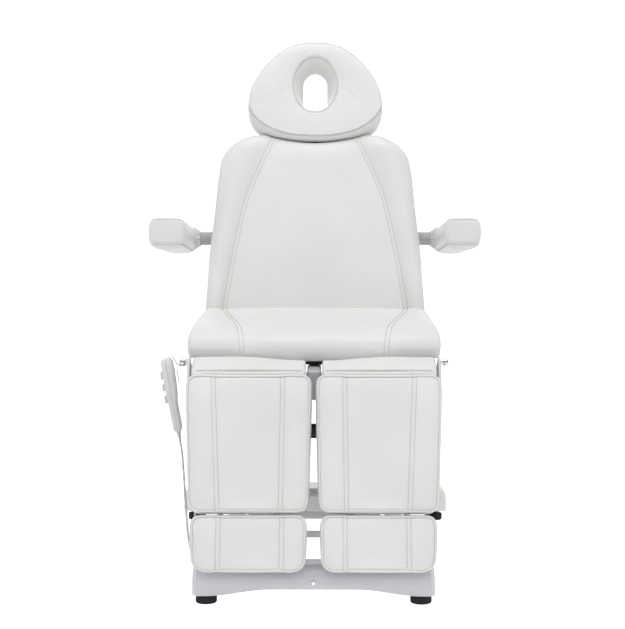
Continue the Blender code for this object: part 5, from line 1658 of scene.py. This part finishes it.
hook = loft([[(x, y, z) for x, y, z in ring] for ring in [
    [(0.0120 + 0.0012 * math.cos(2 * math.pi * i / 12) + dx, 0.0055 * math.sin(2 * math.pi * i / 12), z)
     for i in range(12)] for dx, z in ((0.0, 0.0640), (0.0045, 0.0635), (0.0085, 0.0605), (0.0095, 0.0560),
                                       (0.0095, 0.0420), (0.0090, 0.0340), (0.0080, 0.0305))]])
put("handset_rear_shell", joined([back_mesh, hook]), "seat", "handset", angle=40,
    matrix=HAND_M, replaces=("handset_back",))

# ribbed strain relief
profile = [(0.0, -0.0003), (0.0060, -0.0003)]
z_ = -0.0003
for k in range(8):
    r_ = 0.0060 - 0.0021 * k / 7
    profile += [(r_, z_ - 0.0014), (r_ - 0.0003, z_ - 0.0016), (r_ - 0.0015, z_ - 0.0017),
                (r_ - 0.0015, z_ - 0.0024), (r_ - 0.0004, z_ - 0.0025)]
    z_ -= 0.0025
profile += [(0.0034, -0.0208), (0.0, -0.0208)]
put("handset_ribbed_relief", turned(profile, 40), "seat", "handset", angle=50,
    matrix=HAND_M @ Matrix.Translation((0, 0, -HAND_HALF[2])),
    replaces=("handset_strain_relief",))

# armrest tubes, with a rolled outer edge
for side, s in SIGN.items():
    tube = turned([(0.0150, 0.0), (0.0186, 0.0), (0.0190, 0.0004), (0.0190, 0.1511),
                   (0.0186, 0.1515), (0.0150, 0.1515)], 72)
    tube.transform(Matrix.Translation((s * 0.2225, ARM_AXIS[0], ARM_AXIS[1]))
                   @ Matrix.Rotation(s * math.pi / 2, 4, "Y"))
    put("armrest_round_tube_" + side, tube, "armrest_" + side, "grey_steel", angle=40,
        replaces=("armrest_tube_" + side,))

# levelling feet: a rubber pad under each beam on its threaded stem
for name, x, y, top in (("front_left", -0.254, -0.440, 0.023), ("front_right", 0.254, -0.440, 0.023),
                        ("rear_left", -0.349, 0.424, 0.023), ("rear_right", 0.349, 0.424, 0.023)):
    foot = turned([(0.0, 0.0), (0.0240, 0.0), (0.0252, 0.0012), (0.0256, 0.0040),
                   (0.0254, 0.0150), (0.0246, 0.0172), (0.0225, 0.0180), (0.0130, 0.0182),
                   (0.0118, 0.0190), (0.0118, top), (0.0, top)], 64)
    put(name + "_levelling_foot", foot, "base", "rubber", angle=35,
        matrix=Matrix.Translation((x, y + SHIFT, 0)),
        replaces=(name + "_foot",))

# headrest board with the opening cut to the pad's, and its two hinge barrels
board2 = inset(head_line, 0.012)
outer = [(x, z) for x, z in even(board2, count=240, closed=True)]
open2 = even([(p[0], p[2]) for p in arch(0, 0.0390, 0.7870, 0.643, 0.013, 96)], count=160, closed=True)
bmq = bmesh.new()


def ring_of(line, y):
    return [bmq.verts.new((x, y, z)) for x, z in line]


def strip(a, b):
    n = len(a)
    for i in range(n):
        bmq.faces.new((a[i], a[(i + 1) % n], b[(i + 1) % n], b[i]))


layers = ((-0.0046, 0.0), (0.0060, 0.0), (0.0075, 0.0015))
outs = [ring_of(inset(outer, by), y) for y, by in layers]
ins = [ring_of(inset(open2, -by), y) for y, by in layers]
for a_, b_ in zip(outs, outs[1:]):
    strip(a_, b_)
for a_, b_ in zip(ins, ins[1:]):
    strip(a_, b_)
for k in (0, -1):
    edges = []
    for loop in (outs[k], ins[k]):
        for i in range(len(loop)):
            v, w = loop[i], loop[(i + 1) % len(loop)]
            e = bmq.edges.get((v, w))
            edges.append(e or bmq.edges.new((v, w)))
    bmesh.ops.triangle_fill(bmq, edges=edges, use_beauty=True)
put("headrest_plywood", solid(bmq), "headrest", "ply", angle=30, matrix=BACK_M,
    replaces=("headrest_board",))
barrels = []
for s in (-1, 1):
    barrel = turned([(0.0063, 0.0), (0.0112, 0.0), (0.0115, 0.0003), (0.0115, 0.0157),
                     (0.0112, 0.0160), (0.0063, 0.0160)], 40)
    barrel.transform(Matrix.Translation((0.022 if s > 0 else -0.038, 0.0145, 0.600))
                     @ Matrix.Rotation(math.pi / 2, 4, "Y"))
    barrels.append(barrel)
put("headrest_hinge_barrels", joined(barrels), "headrest", "zinc", angle=40, matrix=BACK_M)

# ------------------------------------------------------------------ CAD nodes that stay
FINISHES = {
    "shell": ("seat_side_cover_left", "seat_side_cover_right", "backrest_rear_cover",
              "rear_base_cover"),
    # the front base cover takes the darker, shade-painted cover colour
    "base_cover": ("front_base_cover",),
    # seat frame: painted light on its sides, painted shade in its middle
    "seat_steel_light_and_shade": ("seat_frame",),
    # the seat board is painted near-black: painted shade for the dark gap under the seat
    "painted_shade_sheet": ("seat_board",),
    "white_steel": ("left_base_rail", "right_base_rail", "inner_scissor_frame", "carriage_frame"),
    "black_steel": ("outer_scissor_frame",),
    "grey_steel": ("backrest_frame", "leg_frame_left", "leg_frame_right",
                   "armrest_tube_left", "armrest_tube_right"),
    "chrome": ("front_cover_screw", "hook_knob_left", "hook_knob_right", "lift_actuator_rod",
               "tilt_actuator_rod", "back_actuator_rod", "headrest_bracket"),
    "zinc": ("leg_hinge_shaft", "foot_slide_left", "foot_slide_right"),
    "rubber": ("front_left_foot", "front_right_foot", "rear_left_foot", "rear_right_foot"),
    "ply": ("headrest_board",),
    "handset": ("handset_front", "handset_back", "handset_strain_relief"),
    "key": tuple(n for n in NODES if n.startswith("button_")),
    "dark": ("control_box", "lift_actuator_body", "tilt_actuator_body", "back_actuator_body",
             "mains_inlet", "cord_gland"),
    "cord": ("handset_loop",),
}
for finish, names in FINISHES.items():
    for n in names:
        o = NODES[n]
        o.data.materials.clear()
        o.data.materials.append(MAT[finish])
        if o.data.has_custom_normals:
            pass
        o.data.shade_smooth()
        o.data.set_sharp_from_angle(angle=math.radians(32))

# ------------------------------------------------------------------ stage and light
def stage_piece(name, profile, half, glow):
    mesh = bpy.data.meshes.new(name)
    bms = bmesh.new()
    rows_ = [[bms.verts.new((x, y, z)) for x in (-half, half)] for y, z in profile]
    for a, b in zip(rows_, rows_[1:]):
        bms.faces.new((a[0], a[1], b[1], b[0]))
    bms.to_mesh(mesh)
    bms.free()
    mesh.shade_smooth()
    o = add_object(name, mesh)
    m, nt, p = shader_of(name, (0.90, 0.90, 0.90), 0.9)
    p.inputs["Specular IOR Level"].default_value = 0.0
    p.inputs["Emission Color"].default_value = (1, 1, 1, 1)
    p.inputs["Emission Strength"].default_value = glow
    mesh.materials.append(m)
    return o


# the seen floor and wall are clean white; an unseen floor of the same size gives the bounce
seen_floor = stage_piece("studio_floor", [(-9.0, -0.0004), (3.2, -0.0004)], 12, 0.85)
wall = [(3.2, -0.0004)]
for k in range(1, 13):
    a_ = math.pi / 2 * k / 12
    wall.append((3.2 + 2.5 * math.sin(a_), 2.5 * (1 - math.cos(a_))))
wall.append((5.7, 9.0))
seen_wall = stage_piece("studio_wall", wall, 12, 0.95)
seen_floor.visible_diffuse = False
seen_wall.visible_diffuse = False
seen_floor.visible_glossy = False
bounce = stage_piece("studio_bounce", [(-9.0, 0.0), (5.0, 0.0)], 12, 0.28)
bounce.visible_camera = False
bounce.visible_shadow = False

# a white surround for the other views; only the camera sees it
dome_bm = bmesh.new()
bmesh.ops.create_uvsphere(dome_bm, u_segments=48, v_segments=24, radius=9.5)
dome_mesh = bpy.data.meshes.new("studio_dome")
dome_bm.to_mesh(dome_mesh)
dome_bm.free()
dome_mesh.shade_smooth()
dome = add_object("studio_dome", dome_mesh)
dome_mat, dome_nt, dome_p = shader_of("studio_dome", (0.0, 0.0, 0.0), 1.0)
dome_p.inputs["Specular IOR Level"].default_value = 0.0
dome_p.inputs["Emission Color"].default_value = (1, 1, 1, 1)
dome_p.inputs["Emission Strength"].default_value = 1.0
dome_mesh.materials.append(dome_mat)
dome.visible_diffuse = False
dome.visible_glossy = False
dome.visible_transmission = False
dome.visible_shadow = False

world = bpy.data.worlds.new("studio")
SCENE.world = world
world.use_nodes = True
bg = world.node_tree.nodes["Background"]
bg.inputs["Color"].default_value = (1, 1, 1, 1)
bg.inputs["Strength"].default_value = 0.34


def area(name, at, to, size, power, colour=(1, 1, 1)):
    d = bpy.data.lights.new(name, "AREA")
    d.shape = "RECTANGLE"
    d.size, d.size_y = size
    d.energy = power
    d.color = colour
    o = bpy.data.objects.new(name, d)
    o.location = at
    o.rotation_euler = (Vector(to) - Vector(at)).to_track_quat("-Z", "Y").to_euler()
    COL.objects.link(o)
    return o


area("top_softbox", (0.0, -0.9, 5.6), (0, 0.1, 0.6), (4.2, 3.4), 160)
area("front_softbox", (0.0, -5.2, 2.8), (0, 0, 0.5), (3.6, 2.2), 38)
area("left_softbox", (-3.6, -0.9, 1.6), (0, 0, 0.8), (1.8, 2.2), 13)
area("right_softbox", (3.6, -0.9, 1.6), (0, 0, 0.8), (1.8, 2.2), 13)
SCENE.view_settings.view_transform = "Standard"
SCENE.view_settings.look = "None"
